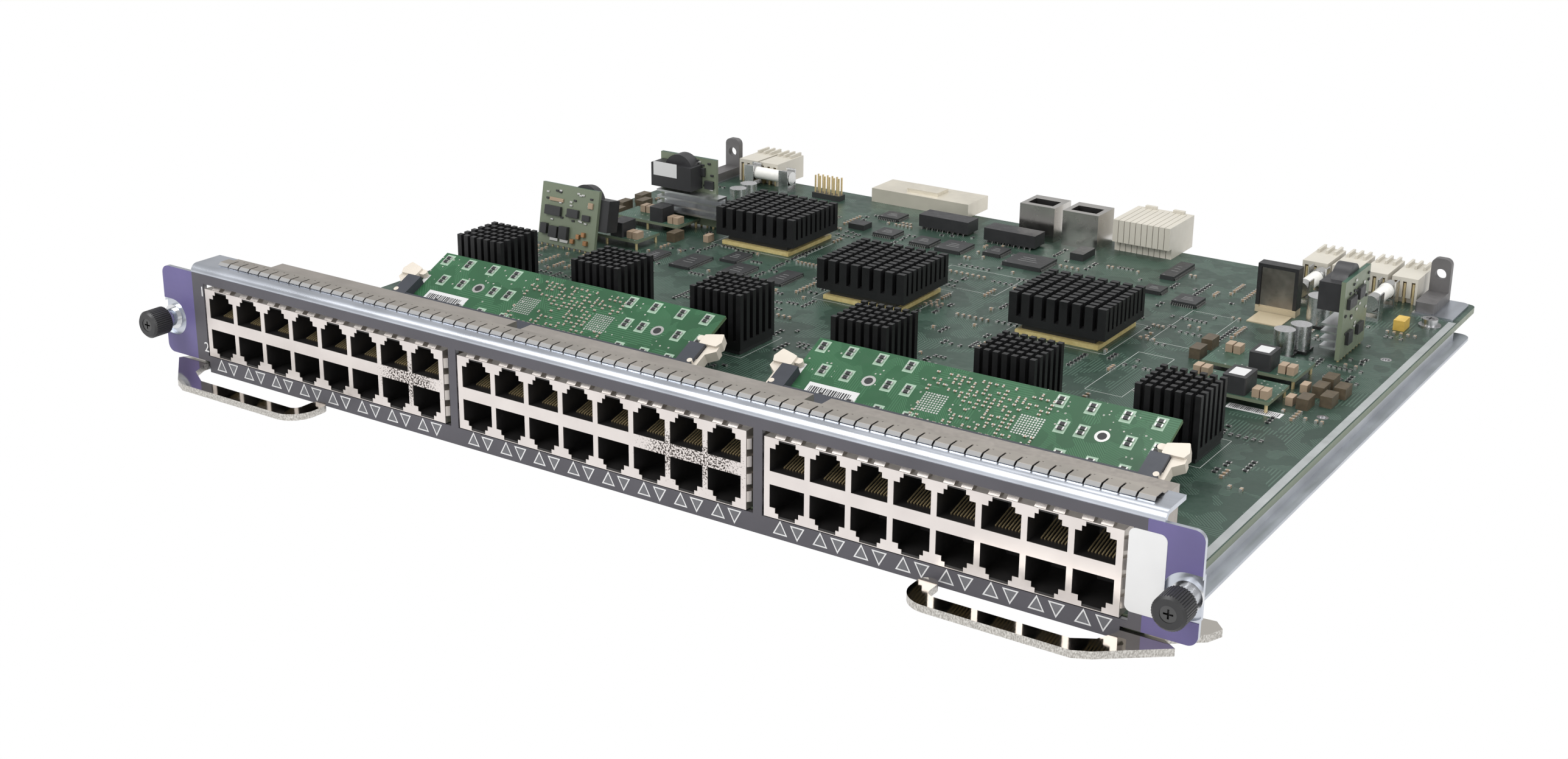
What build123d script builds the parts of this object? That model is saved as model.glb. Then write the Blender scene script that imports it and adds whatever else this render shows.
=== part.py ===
import os
from math import cos, radians, sin

from build123d import *

os.makedirs("parts", exist_ok=True)

# Switch line card: a horizontal card for a rack chassis, with 48 jacks on its face.
# Millimetres. X runs across the face, +Y to the rear, +Z up. The sizes are written with
# Y = 0 at the film on the face; each piece is moved at the end so that the origin lies
# under the middle of the whole card.

# Driving dimensions: sheet metal
panel_width = 398.6
panel_height = 36.8
panel_steel = 1.4
film = 0.25
ear_bottom = 4.0
ear_corner = 3.0
ear_reach = 21.8
lever_notch_x = panel_width / 2 - ear_reach
flange_left = panel_width / 2 - 15.3
flange_right = panel_width / 2 - 11.3
flange_top = 39.6
flange_rear = 13.8
bend_radius = 2.8
tray_thickness = 1.0
tray_rear = 301.0
tray_corner = 4.0
label_inset = 20.9
label_left = panel_width / 2 - label_inset
label_width = 10.8
label_bottom = 9.1
label_height = 24.2
label_corner = 2.0
label_thickness = 0.15

# Driving dimensions: board
board_bottom = 4.0
board_thickness = 2.4
board_half_width = 183.5
tray_overhang = 4.3
tray_half_width = board_half_width + tray_overhang
board_front = 2.9
board_rear = 322.5
rail_width = 3.5
rail_front = 32.0
rail_rear = 292.0
standoff_radius = 3.0
standoff_collar = 2.0
standoff_x = board_half_width - 10.0
standoff_rows = (48.0, 171.5, 240.0)
standoff_middle_x = 60.0
screw_shank = 1.25
countersink = 2.2
corner_screw_x = board_half_width - 8.0
corner_screw_y = 287.0
corner_screw_head = 3.0
corner_screw_height = 2.4
corner_washer = 4.2
washer_thickness = 0.7

# Driving dimensions: status windows and their light pipes
window_width = 4.5
window_height = 4.0
window_middle = 3.5
window_spread = 3.0
window_shift = 0.8
pipe_depth = 4.0
pipe_height = 2.6

# Driving dimensions: spring strip on the flange
strip_pitch = 5.1
strip_slit = 0.6
strip_metal = 0.25
strip_front = 4.3
strip_rise = 1.3
strip_left = 174.0
strip_fingers = 70

# Driving dimensions: ejector levers
lever_thickness = 2.3
lever_gap = 0.1
arm_front = -20.0
right_arm_front = -18.4
arm_width = 6.0
left_arm = (122.0, 169.0, 191.6)
right_arm = (128.0, 172.0, 194.2)
hook_reach = 9.0
pivot_x = 184.0
pivot_y = 9.0
pivot_radius = 3.0
pivot_clearance = 0.05
boss_radius = 8.0
claw_x = 200.5
claw_y = 15.0

# Driving dimensions: thumbscrews
thumb_inset = 4.0
thumb_x = panel_width / 2 - thumb_inset
thumb_z = 17.7
dish_radius = 6.8
dish_depth = 1.0
knob_radius = 5.0
knob_front = -12.0
knob_rear = -4.5
knob_chamfer = 0.8
knurls = 40
sleeve_radius = 3.3
sleeve_front = -5.0
sleeve_flange = 4.5
sleeve_bore = 2.7
sleeve_floor = -0.4
thumb_shank = 1.5
thumb_head = 2.4
thumb_tip = 7.5
running_gap = 0.05
ring_radius = 2.6
ring_thickness = 0.8

# Driving dimensions: network jacks
jack_pitch = 13.97
jack_columns = 8
block_pitch = 120.2
block_half_width = 56.9
block_top = 31.7
block_depth = 36.7
shield_metal = 0.3
port_width = 12.1
port_near = 2.1
port_far = 9.4
notch_wide = 8.2
notch_wide_far = 11.0
notch_narrow = 5.9
finger_width = 3.4
finger_length = 3.2
finger_rise = 1.0
finger_gap = 5.6
shelf_half = 2.0
cavity_far = 11.8
port_depth = 16.0
jack_middle = 19.0
wires_per_port = 8
wire_pitch = 1.02
wire_thickness = 0.35
wire_front = 4.0
wire_rear = 14.0
wire_rise = 2.6
cutout_left = 57.6
cutout_right = 59.4
cutout_gap = 0.3
cutout_top = 33.4

# Driving dimensions: memory modules
module_width = 133.35
module_slope_length = 34.8
module_thickness = 1.3
module_tilt = 25.0
module_edge_y = 69.5
module_edge_z = 9.0
module_centres = (-88.35, 85.0)
module_in_slot = 2.4
socket_rise = 3.2
socket_reach = 7.2
socket_end = 3.8
socket_foot_front = 7.0
socket_foot_rise = 2.6
tower_over_edge = 2.6
tower_top = 16.6
tower_half = 3.4
latch_pivot_out = 2.9
latch_pivot_v = 7.8
latch_foot = 2.6
latch_foot_gap = 0.3
latch_side_gap = 0.2
latch_arm = 1.5
latch_half_thick = 2.0
latch_gusset_low = 13.0
latch_head = 8.3
latch_head_in = 0.7
latch_head_low = 17.0
latch_head_high = 23.4
latch_head_back = 0.8
latch_head_face = 3.0
latch_nose_in = 2.0
latch_nose_v = 20.2
latch_nose_half = 1.3
nose_gap = 0.2
nose_face = 2.2
latch_pin = 1.0
cheek_gap = 0.15

# Driving dimensions: heat sinks
large_sink = (39.5, 35.0, 12.1)
large_sink_base = 3.0
large_pins = (8, 10)
large_pin = (3.3, 2.2)
large_sink_z = 10.5
large_package = 34.0
large_rim = 1.6
large_places = ((-90.8, 237.5), (-15.0, 199.2), (66.2, 205.5))
small_sink = (22.5, 22.0, 21.0)
small_sink_base = 3.0
small_pins = (7, 6)
small_pin = (2.0, 2.0)
small_sink_z = 8.0
small_package = 21.4
small_sink_front = 109.4
small_sink_x = (-146.0, -88.2, -32.4, 28.4, 85.0, 142.8)

# Driving dimensions: flat chips as (left, right, front, rear, height)
flat_chips = (
    (-72.5, -62.5, 292.0, 302.0, 1.6), (-61.0, -51.0, 268.0, 278.0, 1.6),
    (-76.0, -68.0, 272.0, 279.0, 2.4), (-41.0, -31.5, 265.0, 276.0, 1.6),
    (-28.0, -16.0, 264.0, 278.0, 1.6), (-8.0, 0.0, 270.0, 281.0, 1.6),
    (5.5, 23.0, 262.0, 278.0, 1.8), (67.0, 73.0, 283.0, 305.0, 1.8),
    (84.0, 94.0, 254.5, 265.0, 1.8), (68.0, 76.0, 262.0, 270.0, 1.6),
    (-94.0, -86.0, 199.0, 212.0, 1.2), (-107.0, -97.0, 181.0, 199.0, 1.2),
    (-84.0, -74.0, 183.0, 199.0, 1.2), (-62.0, -54.0, 184.0, 202.0, 1.2),
    (-123.0, -116.0, 182.0, 195.0, 1.2), (25.0, 31.0, 286.0, 298.0, 3.0),
)

# Driving dimensions: upright converter boards
converter_lift = 1.0
converter_board = 1.6
left_converter = (-151.9, -122.0, 236.0)
left_converter_top = 37.7
tilted_converter = (-172.6, -142.0, 175.2)
tilted_converter_height = 26.0
tilted_converter_lean = 11.0
right_converter = (226.0, 254.0, 158.9)
right_converter_top = 37.0
converter_sink_depth = 7.0
converter_sink_base = 1.2
converter_sink_height = 9.5
converter_sink_z = 13.0
converter_fin = 0.9
converter_fins = 4
transformer_depth = 8.6
transformer_core = 7.6
low_transformers = ((-50.4, 290.0), (-17.0, 288.0))
low_transformer = (24.4, 9.6, 6.4)

# Driving dimensions: raised boards as (left, right, front, rear), inductors as (left, front, width, depth)
raised_boards = ((123.0, 157.3, 163.6, 183.6), (122.4, 157.0, 190.6, 211.0),
                 (-165.0, -131.0, 190.8, 206.6), (-164.6, -130.2, 218.7, 235.0))
raised_gap = 3.0
raised_thickness = 1.2
inductor_places = ((140.0, 164.4, 8.4, 11.6), (139.2, 191.4, 8.0, 10.4),
                   (-146.0, 191.4, 7.0, 9.4), (-146.0, 219.2, 7.0, 9.0))
inductor_height = 6.4

# Driving dimensions: tantalum blocks as (left, front)
tantalum_size = (4.2, 7.2, 4.0)
tantalum_places = ((163.2, 173.8), (163.8, 187.8), (169.2, 180.4), (163.8, 198.0), (170.4, 191.0),
                   (113.4, 212.6), (113.6, 200.6), (-129.3, 209.4), (-127.5, 238.6), (-173.0, 224.6),
                   (-178.0, 236.0), (-178.4, 250.6), (-172.0, 243.0), (-178.0, 215.0), (165.2, 274.4))

# Driving dimensions: ceramic capacitors as (left, front), on the raised boards and on the main board
ceramic_size = (2.6, 4.6, 3.0)
ceramics_on_raised = ((150.4, 165.6), (153.4, 165.4), (125.0, 176.0), (128.2, 175.6), (149.6, 193.0),
                      (152.8, 192.8), (126.0, 203.6), (129.2, 203.2), (-137.6, 192.2), (-134.6, 192.2),
                      (-137.0, 220.4), (-134.0, 220.4), (-158.0, 228.4), (-154.8, 228.4))
ceramics_on_board = ((159.0, 189.6), (159.0, 175.2), (-115.8, 217.6))

# Driving dimensions: electrolytic cans as (x, y, radius, height)
can_places = ((141.0, 222.4, 4.0, 10.4), (144.0, 231.4, 4.0, 10.4), (140.4, 263.0, 5.0, 12.0),
              (-139.5, 278.0, 4.0, 7.0), (-140.5, 288.0, 4.0, 7.0))
can_base = 1.2

# Driving dimensions: choke
choke_x = (113.8, 130.0)
choke_front = 266.0
choke_depth = 5.6
choke_top = 26.0
choke_sheet = 0.4

# Driving dimensions: fuses
fuse_radius = 2.8
fuse_cap_radius = 3.1
fuse_length = 25.0
fuse_cap = 5.5
fuse_z = 13.0
clip_metal = 0.5
clip_width = 5.0
fuse_left = (-154.5, 308.0)
fuse_right = ((125.8, 282.0), (154.0, 280.6))

# Driving dimensions: pin header
header = (-117.0, -102.0, 306.0, 311.0)
header_base = 2.5
header_pin = 0.64
header_pin_top = 17.0
header_pitch = 2.54

# Driving dimensions: rear shielded connector
rear_face = 335.0
shell_x = (-90.5, -40.0)
shell_front = 316.0
shell_top = 12.8
shell_metal = 0.5

# Driving dimensions: upright jacks at the rear
upright_jacks = (-8.0, 12.5)
upright_width = 16.6
upright_y = (303.5, 319.7)
upright_top = 21.8
upright_floor = 10.0
upright_mouth = (12.0, 8.0)
upright_metal = 0.3

# Driving dimensions: wafer connector
wafer_x = (34.5, 60.3)
wafer_y = (307.0, 333.0)
wafer_top = 20.6
wafers = 10
wafer_gap = 0.25

# Driving dimensions: power connectors as (left, front)
power_places = ((-162.4, 312.2), (-150.8, 312.2), (117.2, 308.5), (129.3, 308.5), (141.4, 308.5),
                (153.5, 308.5))
power_width = 10.3
power_depth = 22.5
power_top = 17.0
power_slot = 1.5
power_rib = 1.0

# Driving dimensions: corner plates and guide ears
corner_plate = 0.8
corner_plate_x = board_half_width - 2.0
corner_plate_y = (297.0, 321.0)
ear_left_edges = (9.6 - board_half_width, board_half_width - 17.6)
ear_width = 7.8
ear_foot_y = (299.0, 317.0)
ear_foot_height = 4.0
ear_plate = 3.0
ear_top = 24.6
ear_hole = 2.2
ear_hole_z = 18.2

# Derived places
board_top = board_bottom + board_thickness
cutout_bottom = board_top - cutout_gap
lever_bottom = tray_thickness + lever_gap
steel_front = film
steel_rear = film + panel_steel
socket_half = module_width / 2 + socket_end
latch_pivot_u = module_width / 2 + latch_pivot_out
nodes = {}


def block(x0, x1, y0, y1, z0, z1):
    """Plain box between six planes."""
    return Pos((x0 + x1) / 2, (y0 + y1) / 2, (z0 + z1) / 2) * Box(x1 - x0, y1 - y0, z1 - z0)


def post(x, y, z0, z1, r):
    """Upright round bar."""
    return Pos(x, y, (z0 + z1) / 2) * Cylinder(r, z1 - z0)


def bar_y(x, z, y0, y1, r):
    """Round bar that runs to the rear."""
    return Pos(x, (y0 + y1) / 2, z) * Rot(90, 0, 0) * Cylinder(r, y1 - y0)


def bar_x(y, z, x0, x1, r):
    """Round bar that runs across."""
    return Pos((x0 + x1) / 2, y, z) * Rot(0, 90, 0) * Cylinder(r, x1 - x0)


def plate_xz(points, y0, y1):
    """Flat piece drawn in the face's plane, from y0 back to y1."""
    wire = Polyline(*[(x, z) for x, z in points], close=True)
    return Pos(0, y1, 0) * Rot(90, 0, 0) * extrude(make_face(wire), y1 - y0)


def section_x(points, x0, x1):
    """Section drawn as (y, z), run across from x0 to x1."""
    wire = Polyline(*[(y, z) for y, z in points], close=True)
    return extrude(Plane.YZ.offset(x0) * make_face(wire), x1 - x0)


def mirrored(piece):
    """The same piece for the other side of the card."""
    return piece.mirror(Plane.YZ)


def keep(name, *pieces):
    """Adds a node, as one or more separate solids."""
    solids = []
    for piece in pieces:
        solids.extend(piece.solids())
    nodes[name] = solids


# Base tray, with the holes for its countersunk screws
standoff_places = []
for row_y in standoff_rows:
    for row_x in (-standoff_x, -standoff_middle_x, standoff_middle_x, standoff_x):
        standoff_places.append((row_x, row_y))
tray = block(-tray_half_width, tray_half_width, steel_rear, tray_rear, 0, tray_thickness)
tray_back = [e for e in tray.edges().filter_by(Axis.Z) if e.center().Y > tray_rear - 1]
tray = fillet(tray_back, tray_corner)
cone = Cone(countersink, screw_shank, tray_thickness)
for x, y in standoff_places:
    tray -= Pos(x, y, tray_thickness / 2) * cone
for side in (-1, 1):
    tray -= post(side * pivot_x, pivot_y, 0, tray_thickness, pivot_radius / 2)
keep("base_tray", tray)

# Countersunk screws that come up from under the tray
screws = []
spacers = []
for x, y in standoff_places:
    head = Pos(x, y, tray_thickness / 2) * cone
    screws.append(head + post(x, y, tray_thickness, board_top - 0.6, screw_shank))
    spacer = post(x, y, tray_thickness, board_bottom, standoff_radius)
    spacer += post(x, y, board_bottom, board_top, standoff_collar)
    spacers.append(spacer - post(x, y, tray_thickness, board_top, screw_shank + running_gap))
for side in (-1, 1):
    x = side * corner_screw_x
    y = corner_screw_y
    seat = board_top + washer_thickness
    bolt = post(x, y, tray_thickness + 0.4, seat, screw_shank)
    bolt += post(x, y, board_top, seat, corner_washer)
    bolt += post(x, y, seat, seat + corner_screw_height, corner_screw_head)
    for turn in (0, 90):
        bolt -= Pos(x, y, seat + corner_screw_height - 0.5) * Rot(0, 0, turn) * Box(3.2, 0.6, 1.0)
    screws.append(bolt)
    spacer = post(x, y, tray_thickness, board_bottom, standoff_radius)
    spacers.append(spacer - post(x, y, tray_thickness, board_bottom, screw_shank + running_gap))
keep("board_screws", *screws)
keep("board_standoffs", *spacers)

# Edge rails under the board's long edges
rail = block(board_half_width - rail_width, board_half_width, rail_front, rail_rear,
             tray_thickness, board_bottom)
keep("edge_rails", rail, mirrored(rail))

# Main board
board = block(-board_half_width, board_half_width, board_front, board_rear, board_bottom, board_top)
board_back = [e for e in board.edges().filter_by(Axis.Z) if e.center().Y > board_rear - 1]
board = fillet(board_back, 3.0)
for x, y in standoff_places:
    board -= post(x, y, board_bottom, board_top, standoff_collar + running_gap)
for side in (-1, 1):
    board -= post(side * corner_screw_x, corner_screw_y, board_bottom, board_top,
                  screw_shank + running_gap)
keep("main_board", board)

# Face plate: steel sheet with the jack cut-outs, ears, pressed dishes and rolled flange
half_panel = panel_width / 2
block_centres = (-block_pitch, 0.0, block_pitch)


def window_places():
    """Centres of the status windows, one pair for each jack column, with the way they point."""
    places = []
    for centre in block_centres:
        for column in range(jack_columns):
            column_x = centre + (column - (jack_columns - 1) / 2) * jack_pitch + window_shift
            places.append((column_x - window_spread, 1))
            places.append((column_x + window_spread, -1))
    return places


def window_prism(x, way, y0, y1, grow=0.0):
    """Three-sided window that points up (way 1) or down (way -1)."""
    half = window_width / 2 + grow
    rise = window_height / 2 + grow
    z = window_middle
    points = [(x - half, z - way * rise), (x + half, z - way * rise), (x, z + way * rise)]
    return plate_xz(points, y0, y1)


def face_outline():
    """Outline of the face: full height in the middle, raised lower edge at the ears."""
    return [(-half_panel, ear_bottom), (-lever_notch_x, ear_bottom), (-lever_notch_x, 0),
            (lever_notch_x, 0), (lever_notch_x, ear_bottom), (half_panel, ear_bottom),
            (half_panel, panel_height), (-half_panel, panel_height)]


def rounded_face(y0, y1):
    """The face's sheet with rounded ear corners."""
    sheet = plate_xz(face_outline(), y0, y1)
    corners = [e for e in sheet.edges().filter_by(Axis.Y) if abs(e.center().X) > half_panel - 1]
    return fillet(corners, ear_corner)


def jack_cutouts(y0, y1):
    """The three wide openings for the jack blocks."""
    cuts = []
    for centre in block_centres:
        cuts.append(block(centre - cutout_left, centre + cutout_right, y0, y1,
                          cutout_bottom, cutout_top))
    return cuts


plate = rounded_face(steel_front, steel_rear)
with BuildPart() as flange_maker:
    with BuildSketch(Plane.YZ.offset(-flange_left)):
        with BuildLine():
            low = panel_height
            high = flange_top
            inner = bend_radius - panel_steel
            mid_y = steel_front + bend_radius
            RadiusArc((steel_front, low), (mid_y, high), bend_radius)
            Line((mid_y, high), (flange_rear, high))
            Line((flange_rear, high), (flange_rear, high - panel_steel))
            Line((flange_rear, high - panel_steel), (mid_y, high - panel_steel))
            RadiusArc((mid_y, high - panel_steel), (steel_rear, low), -inner)
            Line((steel_rear, low), (steel_front, low))
        make_face()
    extrude(amount=flange_left + flange_right)
plate += flange_maker.part
for side in (-1, 1):
    dish = bar_y(side * thumb_x, thumb_z, steel_rear, steel_rear + dish_depth, dish_radius + 0.8)
    plate += dish & block(-half_panel, half_panel, 0, flange_rear, 0, panel_height)
    plate -= bar_y(side * thumb_x, thumb_z, steel_front, steel_front + dish_depth, dish_radius)
    plate -= bar_y(side * thumb_x, thumb_z, 0, flange_rear, sleeve_bore)
for cut in jack_cutouts(steel_front, steel_rear):
    plate -= cut
for x, way in window_places():
    plate -= window_prism(x, way, steel_front, steel_rear, running_gap)
ends = [-half_panel]
for centre in block_centres:
    ends += [centre - cutout_left, centre + cutout_right]
ends.append(half_panel)
strips = [plate & block(-half_panel, half_panel, 0, flange_rear, cutout_top, flange_top),
          plate & block(-half_panel, half_panel, 0, flange_rear, 0, cutout_bottom)]
for i in range(0, len(ends), 2):
    strips.append(plate & block(ends[i], ends[i + 1], 0, flange_rear, cutout_bottom, cutout_top))
keep("face_plate", *strips)

# Printed film over the face
overlay = rounded_face(0, film)
for cut in jack_cutouts(0, film):
    overlay -= cut
waist = block(thumb_x, half_panel + 1, 0, film, thumb_z - dish_radius, thumb_z + dish_radius)
for side in (-1, 1):
    overlay -= bar_y(side * thumb_x, thumb_z, 0, film, dish_radius)
overlay = overlay - waist - mirrored(waist)
for x, way in window_places():
    overlay -= window_prism(x, way, 0, film, running_gap)
keep("panel_overlay", overlay)

# Bare white label on the right ear
label = block(label_left, label_left + label_width, -label_thickness, 0,
              label_bottom, label_bottom + label_height)
label = fillet(label.edges().filter_by(Axis.Y), label_corner)
keep("blank_label", label)

# Light pipes: for each jack block, a bar under the board's front edge, with a window for each port
pipes = []
for centre in block_centres:
    reach = (jack_columns - 1) / 2 * jack_pitch + window_shift + window_spread + window_width / 2 + 0.4
    pipe = block(centre - reach, centre + reach, steel_rear, board_front - 0.1,
                 lever_bottom, window_middle + window_height / 2 + 0.6)
    pipe += block(centre - reach, centre + reach, board_front - 0.1, steel_rear + pipe_depth,
                  lever_bottom, lever_bottom + pipe_height)
    for x, way in window_places():
        if abs(x - centre) < reach:
            pipe += window_prism(x, way, 0, steel_rear)
    pipes.append(pipe)
keep("light_pipes", *pipes)

# Spring strip on the flange: a low arched strip slit into fingers
strip_rear = flange_rear - 0.3
strip_span = strip_fingers * strip_pitch
arch = [(strip_rear, flange_top), (strip_rear, flange_top + strip_metal),
        (strip_rear - 2.2, flange_top + strip_metal), (strip_rear - 4.2, flange_top + strip_rise),
        (strip_front + 1.2, flange_top + strip_rise), (strip_front, flange_top + strip_metal + 0.2),
        (strip_front + 0.3, flange_top + 0.1), (strip_front + 1.4, flange_top + strip_rise - strip_metal),
        (strip_rear - 4.3, flange_top + strip_rise - strip_metal), (strip_rear - 2.3, flange_top)]
strip = section_x(arch, -strip_left, -strip_left + strip_span)
slits = []
for i in range(1, strip_fingers):
    x = -strip_left + i * strip_pitch
    slits.append(block(x - strip_slit / 2, x + strip_slit / 2, strip_front - 1, strip_rear - 1.6,
                       flange_top - 1, flange_top + strip_rise + 1))
strip = strip - slits
keep("emi_finger_strip", strip)

# Ejector levers, with their shoulder rivets in the tray


def lever(arm_front, arm):
    """Lever for the right side: hooked arm in front, shank through the notch, claw behind the ear."""
    arm_inner_end, arm_outer_end, tip_corner = arm
    low = lever_bottom
    high = lever_bottom + lever_thickness
    back = arm_front + arm_width
    corner_y = arm_front + hook_reach
    plan = make_face(Polyline((arm_inner_end, arm_front), (arm_outer_end, arm_front),
                              (arm_outer_end + 5.0, arm_front + 2.4), (tip_corner, -2.2),
                              (pivot_x + 6, 0.8), (pivot_x + 6, pivot_y), (pivot_x - 6, pivot_y),
                              (pivot_x - 6, -2.5), (pivot_x - 9, -8.8), (arm_outer_end - 3, back),
                              (arm_inner_end, back), close=True))
    outer = Pos(arm_inner_end, corner_y) * Circle(hook_reach)
    inner = Pos(arm_inner_end, corner_y) * Circle(hook_reach - arm_width)
    quarter = Pos(arm_inner_end - hook_reach / 2,
            corner_y - hook_reach / 2) * Rectangle(hook_reach, hook_reach)
    plan += (outer & quarter) - inner
    tip_x = arm_inner_end - hook_reach + arm_width / 2
    plan += Pos(tip_x, corner_y + 2) * Rectangle(arm_width, 4)
    plan += Pos(tip_x, corner_y + 4) * Circle(arm_width / 2)
    plan += Pos(pivot_x, pivot_y) * Circle(boss_radius)
    plan += make_face(Polyline((pivot_x + 5.5, pivot_y - 6.3), (claw_x - 2, pivot_y + 1),
                               (claw_x, claw_y), (claw_x - 3, claw_y + 3.4),
                               (pivot_x, pivot_y + boss_radius), close=True))
    plan -= Pos(pivot_x, pivot_y) * Circle(pivot_radius + pivot_clearance)
    return Pos(0, 0, low) * extrude(plan, high - low)


keep("right_ejector", lever(right_arm_front, right_arm))
keep("left_ejector", mirrored(lever(arm_front, left_arm)))
lever_top = lever_bottom + lever_thickness
rivet = post(pivot_x, pivot_y, 0, tray_thickness, pivot_radius / 2)
rivet += post(pivot_x, pivot_y, tray_thickness, lever_top + 0.1, pivot_radius)
rivet += post(pivot_x, pivot_y, lever_top + 0.1, board_bottom - 0.05, pivot_radius * 1.5)
keep("ejector_pivots", rivet, mirrored(rivet))

# Thumbscrews: sleeve in the panel, knob and screw that spin, ring and spring


def thumb_pieces():
    """Pieces of the right thumbscrew, by name."""
    x = thumb_x
    z = thumb_z
    floor = steel_front + dish_depth
    back = steel_rear + dish_depth
    sleeve = bar_y(x, z, sleeve_front, floor, sleeve_radius)
    sleeve += bar_y(x, z, floor - 1.2, floor, sleeve_flange)
    sleeve += bar_y(x, z, floor, back + 0.6, sleeve_bore)
    sleeve -= bar_y(x, z, sleeve_front, sleeve_floor, sleeve_bore)
    sleeve -= bar_y(x, z, sleeve_floor, back + 0.6, thumb_shank + running_gap)
    knob = bar_y(x, z, knob_front, knob_rear, knob_radius)
    rims = knob.edges().filter_by(GeomType.CIRCLE).sort_by(Axis.Y)
    knob = chamfer(rims[0], knob_chamfer)
    grooves = []
    for i in range(knurls):
        turn = 360 * i / knurls
        groove = Pos(x, (knob_front + knob_rear) / 2 + knob_chamfer / 2, z) * Rot(0, turn, 0)
        groove *= Pos(knob_radius, 0, 0) * Rot(0, 45, 0)
        grooves.append(groove * Box(0.35, knob_rear - knob_front, 0.35))
    knob -= grooves
    pocket = knob_front + 3.0
    knob -= bar_y(x, z, pocket, knob_rear, sleeve_radius + 0.1)
    knob -= bar_y(x, z, knob_front, pocket, thumb_shank)
    knob -= bar_y(x, z, knob_front, knob_front + 1.8, thumb_head)
    screw = bar_y(x, z, knob_front + 0.2, knob_front + 1.8, thumb_head)
    screw += bar_y(x, z, knob_front + 1.8, thumb_tip, thumb_shank)
    neck = back + 0.7
    screw -= bar_y(x, z, neck, neck + ring_thickness, thumb_shank) - bar_y(
        x, z, neck, neck + ring_thickness, thumb_shank - 0.3)
    for turn in (0, 90):
        cross = Pos(x, knob_front + 0.7, z) * Rot(0, turn, 0) * Box(2.8, 1.2, 0.55)
        screw -= cross
    ring = bar_y(x, z, neck, neck + ring_thickness, ring_radius)
    ring -= bar_y(x, z, neck, neck + ring_thickness, thumb_shank - 0.3 + running_gap)
    turns = 5
    free = sleeve_floor - pocket
    path = Helix(free * 0.92 / turns, free * 0.92, (sleeve_bore + thumb_shank) / 2)
    start = Plane(origin=path @ 0, z_dir=path % 0)
    coil = sweep(start * Circle(0.25), path)
    spring = Pos(x, sleeve_floor - free * 0.04, z) * Rot(90, 0, 0) * coil
    return {"screw_sleeve": sleeve, "thumb_knob": knob, "thumb_screw": screw,
            "retaining_ring": ring, "thumb_spring": spring}


for part_name, piece in thumb_pieces().items():
    if part_name == "screw_sleeve":
        keep("thumb_sleeves", mirrored(piece), piece)
    else:
        keep("right_" + part_name, piece)
        keep("left_" + part_name, mirrored(piece))

# Network jacks: shield, dividers, tongues, transformer blocks and contact wires


def port_outline(x, way):
    """Outline of one port in the shield's front, upper row for way 1, lower row for way -1."""
    under_top = block_top - shield_metal - jack_middle
    steps = ((port_width, port_near, port_far), (notch_wide, port_far, notch_wide_far),
             (notch_narrow, notch_wide_far, under_top))
    cuts = []
    for width, near, far in steps:
        z0 = jack_middle + way * near
        z1 = jack_middle + way * far
        cuts.append(block(x - width / 2, x + width / 2, -1, shield_metal, min(z0, z1), max(z0, z1)))
    return cuts


def grounding_finger(rise):
    """Raised strip of the shield that presses on the edge of the cut-out, at the origin, along X."""
    points = [(0, 0), (finger_length * 0.35, rise), (finger_length * 0.6, rise), (finger_length, 0)]
    return section_x(points, -finger_width / 2, finger_width / 2)


def contact_wire(x, way):
    """One sprung wire that rises from the tongue towards the rear of the port."""
    z0 = jack_middle + way * shelf_half
    z1 = z0 + way * wire_rise
    half = wire_thickness / 2
    points = [(wire_front, z0), (wire_rear, z1), (wire_rear, z1 + way * wire_thickness),
              (wire_front - 0.2, z0 + way * wire_thickness)]
    return section_x(points, x - half, x + half)


shields = []
frames = []
tongues = []
jack_transformers = []
wires = []
for centre in block_centres:
    x0 = centre - block_half_width
    x1 = centre + block_half_width
    columns = [centre + (i - (jack_columns - 1) / 2) * jack_pitch for i in range(jack_columns)]
    shield = block(x0, x1, 0, block_depth, board_top, block_top)
    shield -= block(x0 + shield_metal, x1 - shield_metal, shield_metal, block_depth - shield_metal,
                    board_top, block_top - shield_metal)
    ports = []
    for x in columns:
        ports.extend(port_outline(x, 1) + port_outline(x, -1))
    shield -= ports
    for x in columns:
        for side in (-1, 1):
            shield += Pos(x + side * finger_gap / 2, shield_metal, block_top) * grounding_finger(finger_rise)
    for i in range(4):
        z = jack_middle + (i - 1.5) * finger_gap
        rise = min(finger_rise, cutout_left - block_half_width)
        shield += Pos(x1, shield_metal, z) * Rot(0, 90, 0) * grounding_finger(finger_rise)
        shield += Pos(x0, shield_metal, z) * Rot(0, -90, 0) * grounding_finger(rise * 0.8)
    shields.append(shield)

    # Moulded frame: a plate above and below the ports, and a wall between the columns
    in_left = x0 + shield_metal
    in_right = x1 - shield_metal
    front = shield_metal
    rear = front + port_depth
    ceiling = jack_middle + cavity_far
    floor = jack_middle - cavity_far
    half = port_width / 2
    frames.append(block(in_left, in_right, front, rear, ceiling, block_top - shield_metal))
    frames.append(block(in_left, in_right, front, rear, board_top, floor))
    walls_left = [in_left] + [x + half for x in columns]
    walls_right = [x - half for x in columns] + [in_right]
    for left, right in zip(walls_left, walls_right):
        frames.append(block(left, right, front, rear, floor, ceiling))

    # A tongue between the upper and lower port, and a transformer block behind
    for x in columns:
        tongues.append(block(x - half, x + half, front, rear,
                             jack_middle - shelf_half, jack_middle + shelf_half))
        jack_transformers.append(block(x - jack_pitch / 2 + 0.1, x + jack_pitch / 2 - 0.1, rear,
                                       block_depth - shield_metal, board_top,
                                       block_top - shield_metal))
        for way in (1, -1):
            for i in range(wires_per_port):
                wire_x = x + (i - (wires_per_port - 1) / 2) * wire_pitch
                wires.append(contact_wire(wire_x, way))
keep("jack_shields", *shields)
keep("jack_frames", *frames)
keep("jack_tongues", *tongues)
keep("jack_transformers", *jack_transformers)
keep("jack_contacts", *wires)

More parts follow.
